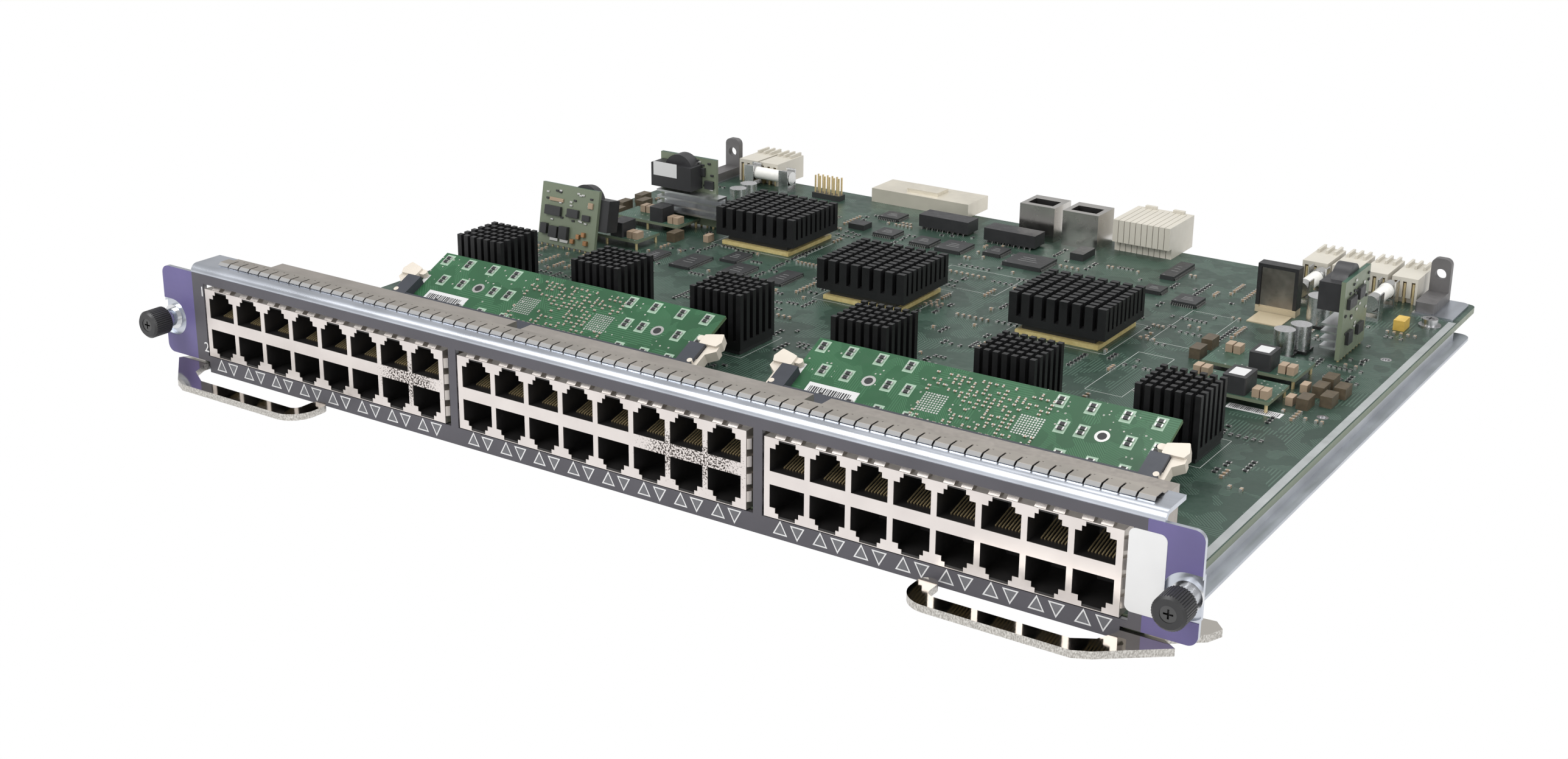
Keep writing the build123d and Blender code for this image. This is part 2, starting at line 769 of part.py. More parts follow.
# Memory modules: board, angled socket, two hinged latches and their pins


def module_frame(centre):
    """Place of a module: X across, Y up the slope, Z out of its upper face."""
    return Pos(centre, module_edge_y, module_edge_z) * Rot(module_tilt, 0, 0)


def in_module_section(v, n):
    """Side view place (y, z) of a point v up the slope and n out of the upper face."""
    turn = radians(module_tilt)
    return (module_edge_y + v * cos(turn) - n * sin(turn),
            module_edge_z + v * sin(turn) + n * cos(turn))


def socket_piece(centre):
    """Long wedge that holds the module's lower edge, with a tower for the latch at each end."""
    half_open = latch_half_thick + cheek_gap
    points = [(module_edge_y - socket_foot_front, board_top),
              (module_edge_y - socket_foot_front, board_top + socket_foot_rise),
              in_module_section(-socket_rise - 1.0, socket_rise),
              in_module_section(socket_reach, socket_rise), in_module_section(socket_reach, -socket_rise),
              (module_edge_y + socket_reach + 1.6, board_top)]
    body = section_x(points, centre - socket_half, centre + socket_half)
    place = module_frame(centre)
    towers = []
    for side in (-1, 1):
        inner = module_width / 2 - tower_over_edge
        tower = Pos(side * (inner + socket_half) / 2, tower_top / 2, 0)
        towers.append(place * tower * Box(socket_half - inner, tower_top, 2 * tower_half))
    above_board = block(centre - socket_half, centre + socket_half, module_edge_y - 20,
                        module_edge_y + 30, board_top, board_top + 40)
    socket = (body + towers) & above_board
    slot = Pos(0, tower_top / 2 - module_in_slot / 2, -module_thickness / 2)
    socket -= place * slot * Box(module_width, tower_top + module_in_slot, module_thickness)
    room_half = latch_foot + latch_foot_gap
    for side in (-1, 1):
        pivot = Pos(side * latch_pivot_u, latch_pivot_v, 0)
        room = pivot * Pos(side * room_half, 0, 0)
        socket -= place * room * Box(4 * room_half, 2 * room_half, 2 * half_open)
        socket -= place * pivot * Cylinder(latch_pin + 0.02, 20)
    return socket


def latch_piece(centre, side):
    """Hinged end latch: round foot on the pin, thin arm, and a head with a nose over the module."""
    arm_in = socket_half + latch_side_gap
    arm_out = arm_in + latch_arm
    head_in = module_width / 2 + latch_head_in
    head_out = head_in + latch_head
    middle = (latch_head_low + latch_head_high) / 2
    arm = make_face(Polyline((arm_in, latch_pivot_v), (arm_in, latch_head_low + 1.0),
                             (head_out - 0.4, latch_head_low + 1.0), (head_out - 0.2, latch_head_low - 1.4),
                             (arm_out, latch_gusset_low), (arm_out, latch_pivot_v), close=True))
    head = make_face(Polyline((head_in, latch_head_low), (head_out - 1.0, latch_head_low),
                              (head_out, middle - 0.8), (head_out - 1.4, latch_head_high),
                              (head_in + 1.8, latch_head_high - 1.4), (head_in, middle + 1.2), close=True))
    piece = Pos(0, 0, -latch_half_thick) * extrude(arm, 2 * latch_half_thick)
    block_head = Pos(0, 0, -latch_head_back) * extrude(head, latch_head_back + latch_head_face)
    piece += fillet(block_head.edges().filter_by(Axis.Z), 0.5)
    piece += Pos(latch_pivot_u, latch_pivot_v, 0) * Cylinder(latch_foot, 2 * latch_half_thick)
    nose_centre = module_width / 2 - latch_nose_in + latch_nose_half
    nose = Pos((nose_centre + head_in) / 2, latch_nose_v)
    nose *= Rectangle(head_in - nose_centre + 1.0, 2 * latch_nose_half)
    nose += Pos(nose_centre, latch_nose_v) * Circle(latch_nose_half)
    piece += Pos(0, 0, nose_gap) * extrude(nose, nose_face - nose_gap)
    piece = Pos(-latch_pivot_u, -latch_pivot_v, 0) * piece
    piece -= Cylinder(latch_pin + running_gap, 4 * latch_half_thick)
    if side < 0:
        piece = piece.mirror(Plane.YZ)
    return module_frame(centre) * Pos(side * latch_pivot_u, latch_pivot_v, 0) * piece


module_pieces = []
sockets = []
latch_pins = []
for name, centre in zip(("left", "right"), module_centres):
    stick = block(-module_width / 2, module_width / 2, -module_in_slot, module_slope_length,
                  -module_thickness, 0)
    for side in (-1, 1):
        stick -= Pos(side * module_width / 2, latch_nose_v, 0) * Cylinder(1.5, 4)
        inner_name = name + "_module_" + ("left_latch" if side < 0 else "right_latch")
        keep(inner_name, latch_piece(centre, side))
        pin_length = 2 * tower_half + 0.3
        pin = Pos(side * latch_pivot_u, latch_pivot_v, 0) * Cylinder(latch_pin, pin_length)
        latch_pins.append(module_frame(centre) * pin)
    module_pieces.append(module_frame(centre) * stick)
    sockets.append(socket_piece(centre))
keep("module_boards", *module_pieces)
keep("module_sockets", *sockets)
keep("latch_pins", *latch_pins)

# Heat sinks with their chip packages


def pin_sink(x, y, z, size, base, counts, pin):
    """Pin-fin heat sink: a base plate with rows of square pins flush with its edges."""
    wide, deep, tall = size
    sink = block(x - wide / 2, x + wide / 2, y - deep / 2, y + deep / 2, z, z + base)
    step_x = (wide - pin[0]) / (counts[0] - 1)
    step_y = (deep - pin[1]) / (counts[1] - 1)
    pins = []
    for i in range(counts[0]):
        for j in range(counts[1]):
            px = x - wide / 2 + i * step_x
            py = y - deep / 2 + j * step_y
            pins.append(block(px, px + pin[0], py, py + pin[1], z + base, z + tall))
    return sink + pins


large_sinks = []
packages = []
for x, y in large_places:
    large_sinks.append(pin_sink(x, y, large_sink_z, large_sink, large_sink_base, large_pins, large_pin))
    rim = large_package / 2
    lid = rim - 2.0
    package = block(x - rim, x + rim, y - rim, y + rim, board_top, board_top + large_rim)
    package += block(x - lid, x + lid, y - lid, y + lid, board_top + large_rim, large_sink_z)
    packages.append(package)
small_sinks = []
for x in small_sink_x:
    y = small_sink_front + small_sink[1] / 2
    small_sinks.append(pin_sink(x, y, small_sink_z, small_sink, small_sink_base, small_pins, small_pin))
    half = small_package / 2
    packages.append(block(x - half, x + half, y - half, y + half, board_top, small_sink_z))
keep("large_heat_sinks", *large_sinks)
keep("small_heat_sinks", *small_sinks)
keep("chip_packages", *packages)

chips = []
for x0, x1, y0, y1, height in flat_chips:
    chips.append(block(x0, x1, y0, y1, board_top, board_top + height))
keep("logic_chips", *chips)

# Upright converter boards on their pins
pins = []
converters = []
x0, x1, y0 = left_converter
converters.append(block(x0, x1, y0, y0 + converter_board, board_top + converter_lift, left_converter_top))
for i in range(9):
    pin_x = x0 + 2 + i * (x1 - x0 - 4) / 8
    pins.append(block(pin_x - 0.35, pin_x + 0.35, y0 + 0.4, y0 + 1.1, board_top, board_top + converter_lift))
x0, x1, y0 = tilted_converter
leaning = Pos(0, y0, board_top + converter_lift) * Rot(-tilted_converter_lean, 0, 0)
converters.append(leaning * block(x0, x1, 0, converter_board, 0, tilted_converter_height))
for i in range(10):
    pin_x = x0 + 2 + i * (x1 - x0 - 4) / 9
    pins.append(block(pin_x - 0.35, pin_x + 0.35, y0 + 0.3, y0 + 0.9, board_top,
                      board_top + converter_lift - 0.3))
y0, y1, x0 = right_converter
converters.append(block(x0, x0 + converter_board, y0, y1, board_top + converter_lift, right_converter_top))
for i in range(8):
    pin_y = y0 + 2 + i * (y1 - y0 - 4) / 7
    pins.append(block(x0 + 0.4, x0 + 1.1, pin_y - 0.35, pin_y + 0.35, board_top, board_top + converter_lift))
keep("converter_boards", *converters)


def finned_bar(length):
    """Extruded finned bar: back plate at y = 0, fins towards -Y, run along X from 0."""
    bar = block(0, length, -converter_sink_base, 0, 0, converter_sink_height)
    step = (converter_sink_height - converter_fin) / (converter_fins - 1)
    for i in range(converter_fins):
        bar += block(0, length, -converter_sink_depth, -converter_sink_base, i * step,
                i * step + converter_fin)
    return bar


# Aluminium sinks on the two taller converters
left_sink = Pos(left_converter[0] + 2.7, left_converter[2], converter_sink_z) * finned_bar(33.0)
right_sink = Pos(right_converter[2], right_converter[1] - 1.0, converter_sink_z - 3.0)
right_sink *= Rot(0, 0, -90) * finned_bar(24.0)
keep("converter_sinks", left_sink, right_sink)

# Transformers of the converters, each with a round core, and the two low ones on the board
transformers = []
x0, x1, y0 = left_converter
box_top = left_converter_top - 3.0
wound = block(x0 + 1.0, x0 + 22.5, y0 - transformer_depth, y0, box_top - 10.5, box_top)
wound += bar_y(x0 + 14.0, box_top - 3.0, y0 - transformer_depth + 2.6, y0, transformer_core)
transformers.append(wound)
x0, x1, y0 = tilted_converter
wound = block(x1 - 13.0, x1 + 4.5, converter_board, converter_board + 7.0, 9.0, 22.5)
wound += bar_y(x0 + 22.0, tilted_converter_height - 6.0, converter_board, converter_board + 4.5,
        transformer_core)
transformers.append(leaning * wound)
y0, y1, x0 = right_converter
box_top = right_converter_top - 1.5
wound = block(x0 - transformer_depth, x0, y0 + 1.5, y0 + 21.0, box_top - 10.5, box_top)
wound += bar_x(y0 + 13.0, box_top - 2.6, x0 - transformer_depth + 2.6, x0, transformer_core)
transformers.append(wound)
wide, deep, tall = low_transformer
for x0, y0 in low_transformers:
    body = block(x0, x0 + wide, y0, y0 + deep, board_top + 1.0, board_top + tall)
    for i in range(8):
        for y in (y0, y0 + deep - 0.5):
            x = x0 + 2.4 + i * (wide - 4.8) / 7
            body += block(x - 0.4, x + 0.4, y, y + 0.5, board_top, board_top + 1.0)
    transformers.append(body)
keep("transformers", *transformers)

# Raised boards on corner pins, each with its inductor
raised = []
inductors = []
raised_top = board_top + raised_gap + raised_thickness
for x0, x1, y0, y1 in raised_boards:
    raised.append(block(x0, x1, y0, y1, board_top + raised_gap, raised_top))
    for x in (x0 + 1.2, (x0 + x1) / 2, x1 - 1.2):
        for y in (y0 + 1.2, y1 - 1.2):
            pins.append(post(x, y, board_top, board_top + raised_gap, 0.6))
for x, y, wide, deep in inductor_places:
    core = block(x, x + wide, y, y + deep, raised_top, raised_top + inductor_height)
    inductors.append(fillet(core.edges().filter_by(Axis.Z), 0.6))
keep("raised_boards", *raised)
keep("support_pins", *pins)
keep("inductors", *inductors)

# Tantalum blocks, lying along Y
wide, deep, tall = tantalum_size
tantalums = []
for x, y in tantalum_places:
    tantalums.append(block(x, x + wide, y, y + deep, board_top, board_top + tall))
keep("tantalum_blocks", *tantalums)

# Ceramic capacitors
wide, deep, tall = ceramic_size
ceramics = []
for places, z in ((ceramics_on_raised, raised_top), (ceramics_on_board, board_top)):
    for x, y in places:
        ceramics.append(block(x, x + wide, y, y + deep, z, z + tall))
keep("ceramic_capacitors", *ceramics)

# Electrolytic cans on square plastic bases
cans = []
for x, y, radius, height in can_places:
    can = block(x - radius, x + radius, y - radius, y + radius, board_top, board_top + can_base)
    can += post(x, y, board_top + can_base, board_top + height, radius - 0.1)
    cans.append(can)
keep("electrolytic_cans", *cans)

# Choke: upright core in a black frame with a steel face, on its insulating sheet
sheet = block(choke_x[0] + 2, choke_x[1] - 1, choke_front - 14, choke_front - 0.5, board_top,
              board_top + choke_sheet)
core = block(choke_x[0], choke_x[1], choke_front, choke_front + choke_depth, board_top, choke_top)
face_cut = block(choke_x[0] + 1.4, choke_x[1] - 1.4, choke_front, choke_front + 0.6,
                 board_top + 2, choke_top - 1.4)
keep("choke", core - face_cut, sheet)

# Fuses in spring clips: one across on the left, two to the rear on the right
def fuse_and_clips():
    """Fuse along X from 0 with its axis at z = 0, and its two clips down to the board."""
    drop = board_top - fuse_z
    tube = bar_x(0, 0, 0, fuse_length, fuse_radius)
    tube += bar_x(0, 0, 0, fuse_cap, fuse_cap_radius)
    tube += bar_x(0, 0, fuse_length - fuse_cap, fuse_length, fuse_cap_radius)
    reach = fuse_cap_radius
    clips = []
    for start in (0.3, fuse_length - clip_width - 0.3):
        end = start + clip_width
        clip = block(start, end, -reach - clip_metal, reach + clip_metal, drop, -reach)
        clip -= block(start, end, -reach, reach, drop + 1.0, -reach - clip_metal)
        for side in (-1, 1):
            y = side * (reach + clip_metal / 2)
            clip += Pos((start + end) / 2, y, 0) * Box(clip_width, clip_metal, 2 * reach + 1.4)
        clips.append(clip)
    return tube, clips


tube, clips = fuse_and_clips()
fuse_turns = [Pos(fuse_left[0], fuse_left[1], fuse_z)]
for x, y in fuse_right:
    fuse_turns.append(Pos(x, y, fuse_z) * Rot(0, 0, 90))
fuses = []
fuse_clips = []
for turn in fuse_turns:
    fuses.append(turn * tube)
    fuse_clips.extend([turn * clip for clip in clips])
keep("fuses", *fuses)
keep("fuse_clips", *fuse_clips)

# Pin header with two rows of six pins
x0, x1, y0, y1 = header
header_block = block(x0, x1, y0, y1, board_top, board_top + header_base)
contact_pins = []
for i in range(6):
    for j in range(2):
        x = (x0 + x1) / 2 + (i - 2.5) * header_pitch
        y = (y0 + y1) / 2 + (j - 0.5) * header_pitch
        half = header_pin / 2
        pin = block(x - half, x + half, y - half, y + half, board_top, header_pin_top)
        header_block -= pin
        contact_pins.append(pin)
keep("pin_header", header_block)

# Rear shielded connector: shell open to the rear, with its insert and top key
shell = block(shell_x[0], shell_x[1], shell_front, rear_face, board_top, shell_top)
shell -= block(shell_x[0] + shell_metal, shell_x[1] - shell_metal, shell_front + shell_metal, rear_face,
               board_top + shell_metal, shell_top - shell_metal)
shell += block(-74.0, -58.0, shell_front + 4, rear_face - 5, shell_top, shell_top + 1.6)
insert = block(shell_x[0] + shell_metal, shell_x[1] - shell_metal, shell_front + shell_metal,
               rear_face - 10, board_top + shell_metal, shell_top - shell_metal)
middle = (board_top + shell_top) / 2
insert += block(shell_x[0] + 3, shell_x[1] - 3, rear_face - 10, rear_face - 0.6, middle - 0.9, middle + 0.9)
keep("rear_connector_shell", shell)
keep("rear_connector_insert", insert)

# Two upright jacks at the rear, open at the top
upright_shields = []
upright_housings = []
for x in upright_jacks:
    y0, y1 = upright_y
    outer = block(x, x + upright_width, y0, y1, board_top, upright_top)
    m = upright_metal
    room = block(x + m, x + upright_width - m, y0 + m, y1 - m, board_top, upright_top - m)
    centre = x + upright_width / 2
    mouth_front = y0 + 3.0
    mouth = block(centre - upright_mouth[0] / 2, centre + upright_mouth[0] / 2, mouth_front,
                  mouth_front + upright_mouth[1], upright_floor, upright_top)
    upright_shields.append(outer - room - mouth)
    upright_housings.append(room - mouth)
keep("rear_jack_shields", *upright_shields)
keep("rear_jack_housings", *upright_housings)

# Wafer connector: ten upright wafers behind a front organiser
wafer_step = (wafer_x[1] - wafer_x[0] + wafer_gap) / wafers
organiser = 2.0
wafer_pieces = []
for i in range(wafers):
    x = wafer_x[0] + i * wafer_step
    wafer = block(x, x + wafer_step - wafer_gap, wafer_y[0], wafer_y[1] - organiser, board_top, wafer_top)
    wafer -= block(x, x + wafer_step, wafer_y[0], wafer_y[0] + 3.0, board_top, board_top + 4.5)
    wafer_pieces.append(wafer)
back = block(wafer_x[0], wafer_x[1], wafer_y[1] - organiser, wafer_y[1], board_top, wafer_top)
for x in (wafer_x[0] + 4.0, wafer_x[1] - 9.0):
    back += block(x, x + 5.0, wafer_y[1] - organiser, wafer_y[1], wafer_top, wafer_top + 1.2)
keep("wafer_connector", *wafer_pieces, back)

# Power connectors: four on the right and two on the left, with three contact blades each
power_bodies = []
for x, y0 in power_places:
    y1 = y0 + power_depth
    body = block(x, x + power_width, y0, y1, board_top, power_top)
    for i in range(3):
        slot_x = x + power_width * (i + 0.5) / 3
        half = power_slot / 2
        body -= block(slot_x - half, slot_x + half, y0, y0 + 3.0, board_top, power_top - 1.6)
        blade = block(slot_x - 0.4, slot_x + 0.4, y0 + 0.6, y0 + 3.0, board_top, power_top - 2.4)
        contact_pins.append(blade)
        body += block(slot_x - power_rib / 2, slot_x + power_rib / 2, y1 - 9, y1, power_top, power_top + 1.4)
    body -= block(x + 1.0, x + power_width - 1.0, y0, y0 + 2.0, board_top, board_top + 2.4)
    power_bodies.append(body)
keep("power_connectors", *power_bodies)
keep("connector_pins", *contact_pins)

# Steel corner plates and the cast guide ears on them
corner_plates = []
ears = []
for side, x in zip((-1, 1), ear_left_edges):
    inner_x = x - 0.3 if side > 0 else x + ear_width + 0.3
    plate_x = sorted((inner_x, side * corner_plate_x))
    corner = block(plate_x[0], plate_x[1], corner_plate_y[0], corner_plate_y[1], board_top,
                   board_top + corner_plate)
    outer_edges = [e for e in corner.edges().filter_by(Axis.Z)
                   if abs(e.center().X) > corner_plate_x - 2 and e.center().Y > ear_foot_y[0]]
    corner_plates.append(fillet(outer_edges, 3.0))
    seat = board_top + corner_plate
    foot = block(x, x + ear_width, ear_foot_y[0], ear_foot_y[1], seat, seat + ear_foot_height)
    foot_edges = [e for e in foot.edges().filter_by(Axis.Z) if e.center().Y < ear_foot_y[0] + 1]
    ear = fillet(foot_edges, 1.2)
    upright = block(x, x + ear_width, ear_foot_y[1], ear_foot_y[1] + ear_plate, seat, ear_top)
    crown = [e for e in upright.edges().filter_by(Axis.Y) if e.center().Z > ear_top - 1]
    ear += fillet(crown, 2.6)
    ear -= bar_y(x + ear_width / 2, ear_hole_z, ear_foot_y[1], ear_foot_y[1] + ear_plate, ear_hole)
    ears.append(ear)
keep("corner_plates", *corner_plates)
keep("guide_ears", *ears)

# Every piece moves forward so that the origin is under the middle of the whole card
card_middle = (arm_front + rear_face) / 2
for name, solids in nodes.items():
    moved = [Pos(0, -card_middle, 0) * solid for solid in solids]
    whole = moved[0] if len(moved) == 1 else Compound(children=moved)
    export_step(whole, "parts/" + name + ".step")
print(len(nodes), "nodes", card_middle)
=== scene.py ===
import math
import random

import bpy
from mathutils import Matrix, Vector


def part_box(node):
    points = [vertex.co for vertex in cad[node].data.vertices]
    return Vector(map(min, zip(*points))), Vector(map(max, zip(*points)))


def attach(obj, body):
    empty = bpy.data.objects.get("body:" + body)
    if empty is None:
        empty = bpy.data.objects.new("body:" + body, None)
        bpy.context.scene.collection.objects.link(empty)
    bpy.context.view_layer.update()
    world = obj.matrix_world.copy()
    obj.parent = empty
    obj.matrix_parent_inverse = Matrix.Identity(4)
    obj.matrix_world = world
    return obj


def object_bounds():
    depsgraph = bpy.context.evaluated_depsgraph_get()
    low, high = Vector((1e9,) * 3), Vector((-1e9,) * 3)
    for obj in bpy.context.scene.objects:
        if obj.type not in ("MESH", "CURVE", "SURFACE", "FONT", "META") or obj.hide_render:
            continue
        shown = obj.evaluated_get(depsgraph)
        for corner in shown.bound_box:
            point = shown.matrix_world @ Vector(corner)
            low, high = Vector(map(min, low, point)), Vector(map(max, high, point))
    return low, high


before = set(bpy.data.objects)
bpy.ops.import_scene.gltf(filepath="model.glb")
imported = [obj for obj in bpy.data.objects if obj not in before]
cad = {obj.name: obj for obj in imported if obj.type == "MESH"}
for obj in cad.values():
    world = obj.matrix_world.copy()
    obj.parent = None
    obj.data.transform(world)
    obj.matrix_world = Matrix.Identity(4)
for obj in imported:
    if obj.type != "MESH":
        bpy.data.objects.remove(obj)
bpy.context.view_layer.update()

# Base tray
# The flat zinc plated steel sheet under the whole card, blanked and deburred. Its long edges
# run in the chassis' guides, so they carry fine scratches along the card.
MM = 0.001
face_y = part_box("panel_overlay")[0].y
face_mm = face_y / MM


def place(x, y, z):
    """A point given in millimetres across, behind the face and above the tray's underside."""
    return Vector((x * MM, face_y + y * MM, z * MM))


def feed(tree, node, inputs):
    """Sets a node's inputs to numbers, colours or the outputs of other nodes."""
    for socket, value in inputs.items():
        if isinstance(value, bpy.types.NodeSocket):
            tree.links.new(value, node.inputs[socket])
        else:
            node.inputs[socket].default_value = value


def add_node(tree, kind, inputs=None, **settings):
    """A new shader node with its settings and inputs."""
    node = tree.nodes.new(kind)
    for name, value in settings.items():
        setattr(node, name, value)
    feed(tree, node, inputs or {})
    return node


def in_millimetres(tree, stretch=(1.0, 1.0, 1.0)):
    """The place on the card in millimetres, stretched along its axes."""
    spot = add_node(tree, "ShaderNodeTexCoord").outputs["Object"]
    scale = [1000.0 * s for s in stretch]
    inputs = {0: spot, 1: scale}
    return add_node(tree, "ShaderNodeVectorMath", inputs, operation="MULTIPLY").outputs[0]


def split_axes(tree, vector):
    """The x, y and z of a vector."""
    return add_node(tree, "ShaderNodeSeparateXYZ", {0: vector}).outputs


def facing_axes(tree):
    """The x, y and z of the way that the surface faces."""
    return split_axes(tree, add_node(tree, "ShaderNodeTexCoord").outputs["Normal"])


def mottle(tree, per_mm, detail=3.0, stretch=(1.0, 1.0, 1.0)):
    """Soft blotches, so many to the millimetre."""
    inputs = {"Vector": in_millimetres(tree, stretch), "Scale": per_mm, "Detail": detail}
    return add_node(tree, "ShaderNodeTexNoise", inputs).outputs[0]


def spread(tree, value, low, high, new_low=0.0, new_high=1.0):
    """Stretches the range low to high of a value over a new range."""
    inputs = {0: value, 1: low, 2: high, 3: new_low, 4: new_high}
    return add_node(tree, "ShaderNodeMapRange", inputs).outputs[0]


def patches(tree, per_mm, low=0.0, high=1.0, detail=3.0, stretch=(1.0, 1.0, 1.0)):
    """Soft blotches, with the middle of their range spread from low to high."""
    return spread(tree, mottle(tree, per_mm, detail, stretch), 0.3, 0.7, low, high)


def maths(tree, operation, a, b=0.0):
    """One sum on two values."""
    return add_node(tree, "ShaderNodeMath", {0: a, 1: b}, operation=operation).outputs[0]


def mixed(tree, share, a, b):
    """Colour a where share is 0 and b where it is 1."""
    a, b = (c if isinstance(c, bpy.types.NodeSocket) else (*c, 1.0) for c in (a, b))
    return add_node(tree, "ShaderNodeMix", {0: share, 6: a, 7: b}, data_type="RGBA").outputs[2]


def shaded(colour, factor):
    """The same colour, lighter or darker."""
    return tuple(min(1.0, c * factor) for c in colour)


def raised(tree, shader, height, depth_mm):
    """Lets a height pattern stand out of the surface by a depth in millimetres."""
    inputs = {"Height": height, "Distance": depth_mm * MM, "Strength": 1.0}
    feed(tree, shader, {"Normal": add_node(tree, "ShaderNodeBump", inputs).outputs[0]})


def start_finish(name):
    """A new material, its node tree and its shader."""
    finish = bpy.data.materials.new(name)
    finish.use_nodes = True
    return finish, finish.node_tree, finish.node_tree.nodes["Principled BSDF"]


def surface_finish(name, colour, rough, metal=0.0, change=0.12, grain=2.0, depth=0.004,
                   stretch=(1.0, 1.0, 1.0), blotch=0.06):
    """A material with soft changes of colour and gloss, and a fine grain."""
    finish, tree, shader = start_finish(name)
    tint = mixed(tree, patches(tree, blotch), shaded(colour, 1 - change), shaded(colour, 1 + change))
    worn = mottle(tree, blotch * 6, 5.0, stretch)
    gloss = spread(tree, worn, 0.25, 0.75, rough * 0.78, rough * 1.22)
    feed(tree, shader, {"Base Color": tint, "Roughness": gloss, "Metallic": metal})
    raised(tree, shader, mottle(tree, grain, 4.0, stretch), depth)
    return finish


def dress(node, finish):
    """Gives a CAD piece its finish."""
    cad[node].data.materials.clear()
    cad[node].data.materials.append(finish)


zinc = surface_finish("zinc_plated_steel", (0.50, 0.53, 0.58), 0.34, 1.0, 0.10, 3.0, 0.003,
                      (1.0, 0.12, 1.0))
dress("base_tray", zinc)

# Board screws and standoffs
# Countersunk steel screws come up through the tray into pressed round spacers. The two rear
# corner screws have pan heads with a washer under them.
plated_steel = surface_finish("plated_screw_steel", (0.55, 0.55, 0.56), 0.28, 1.0, 0.12, 5.0, 0.003)
dress("board_screws", plated_steel)
dress("board_standoffs", plated_steel)

# Edge rails
# Aluminium bars under the board's long edges, drawn and sawn off, so they have fine lines
# along their length.
bare_aluminium = surface_finish("bare_aluminium", (0.68, 0.69, 0.70), 0.36, 1.0, 0.08, 4.0, 0.006,
                                (1.0, 0.05, 1.0))
dress("edge_rails", bare_aluminium)

# Main board
# A thick glass fibre board under a dark, slightly glossy green solder mask. Bundles of copper
# traces show through it as paler lines, with rows of tinned holes between them. The bore of
# each hole is painted shade, a near black dot in the middle of its ring.


def stripes(tree, along, pitch, share):
    """Lines of a pitch in millimetres across a coordinate, wide for the share of their pitch."""
    phase = maths(tree, "FRACT", maths(tree, "DIVIDE", along, pitch))
    return maths(tree, "LESS_THAN", phase, share)


def board_finish(name, mask_colour, trace_colour, pitch, rough, edge_colour):
    """Solder mask over traces that run across, to the rear or slanting in separate fields."""
    trace_share, hole_ring, hole_bore = 0.42, 0.15, 0.06
    finish, tree, shader = start_finish(name)
    spot = in_millimetres(tree)
    x, y = split_axes(tree, spot)[:2]
    inputs = {"Vector": spot, "Scale": 0.045, "Randomness": 0.85}
    fields = add_node(tree, "ShaderNodeTexVoronoi", inputs, distance="CHEBYCHEV")
    kind = add_node(tree, "ShaderNodeSeparateColor", {0: fields.outputs["Color"]}).outputs[0]
    ways = (x, y, maths(tree, "ADD", x, y), maths(tree, "SUBTRACT", x, y))
    lines = None
    for i, along in enumerate(ways):
        inside = maths(tree, "MULTIPLY", maths(tree, "GREATER_THAN", kind, i / len(ways)),
                       maths(tree, "LESS_THAN", kind, (i + 1) / len(ways)))
        drawn = maths(tree, "MULTIPLY", inside, stripes(tree, along, pitch, trace_share))
        lines = drawn if lines is None else maths(tree, "ADD", lines, drawn)
    bundles = maths(tree, "GREATER_THAN", mottle(tree, 0.11, 1.0), 0.50)
    lines = maths(tree, "MULTIPLY", lines, bundles)
    holes = add_node(tree, "ShaderNodeTexVoronoi",
                     {"Vector": spot, "Scale": 0.42, "Randomness": 0.55}).outputs["Distance"]
    spread_out = maths(tree, "GREATER_THAN", mottle(tree, 0.06, 0.0), 0.47)
    ring = maths(tree, "MULTIPLY", maths(tree, "LESS_THAN", holes, hole_ring), spread_out)
    # Painted shade: a near black dot in each tinned ring stands for the shade in the hole's bore.
    bore_shade = maths(tree, "MULTIPLY", maths(tree, "LESS_THAN", holes, hole_bore), spread_out)
    mask = mixed(tree, patches(tree, 0.03), shaded(mask_colour, 0.82), shaded(mask_colour, 1.2))
    mask = mixed(tree, lines, mask, trace_colour)
    mask = mixed(tree, ring, mask, (0.42, 0.42, 0.38))
    mask = mixed(tree, bore_shade, mask, (0.01, 0.012, 0.01))
    side = maths(tree, "LESS_THAN", maths(tree, "ABSOLUTE", facing_axes(tree)[2]), 0.3)
    feed(tree, shader, {"Base Color": mixed(tree, side, mask, edge_colour),
                        "Roughness": patches(tree, 0.3, rough * 0.85, rough * 1.2)})
    height = maths(tree, "ADD", lines, maths(tree, "MULTIPLY", ring, 0.8))
    raised(tree, shader, height, 0.012)
    return finish


main_board_green = board_finish("main_board_mask", (0.024, 0.050, 0.036), (0.058, 0.104, 0.078),
                                1.25, 0.36, (0.16, 0.19, 0.13))
dress("main_board", main_board_green)

# Parts soldered on the main board
# Hundreds of tiny resistors and ceramic capacitors with tinned ends, in loose groups wherever
# the board is free. Each group lies in rows, across the board or along it.
solder = surface_finish("tinned_end", (0.66, 0.66, 0.64), 0.32, 0.9, 0.06, 6.0, 0.002)
resistor_black = surface_finish("resistor_black", (0.022, 0.022, 0.024), 0.45)
capacitor_tan = surface_finish("capacitor_tan", (0.34, 0.25, 0.17), 0.5)


def deselect():
    """Nothing selected and nothing active."""
    bpy.ops.object.select_all(action="DESELECT")


def select_only(*pieces):
    """Selects these pieces, the first one active."""
    deselect()
    for piece in pieces:
        piece.select_set(True)
    bpy.context.view_layer.objects.active = pieces[0]


def settle(piece):
    """Puts the piece's place, turn and size into its mesh."""
    select_only(piece)
    bpy.ops.object.transform_apply(location=True, rotation=True, scale=True)


def slab(name, low, high, edge=0.0, segments=2):
    """A box between two corners in millimetres, with its edges rounded by a bevel."""
    deselect()
    a, b = place(*low), place(*high)
    bpy.ops.mesh.primitive_cube_add(size=1.0, location=(a + b) / 2)
    piece = bpy.context.active_object
    piece.name = name
    piece.scale = b - a
    settle(piece)
    if edge:
        bpy.ops.object.mode_set(mode="EDIT")
        bpy.ops.mesh.select_all(action="SELECT")
        bpy.ops.mesh.bevel(offset=edge * MM, segments=segments, affect="EDGES")
        bpy.ops.object.mode_set(mode="OBJECT")
    return piece


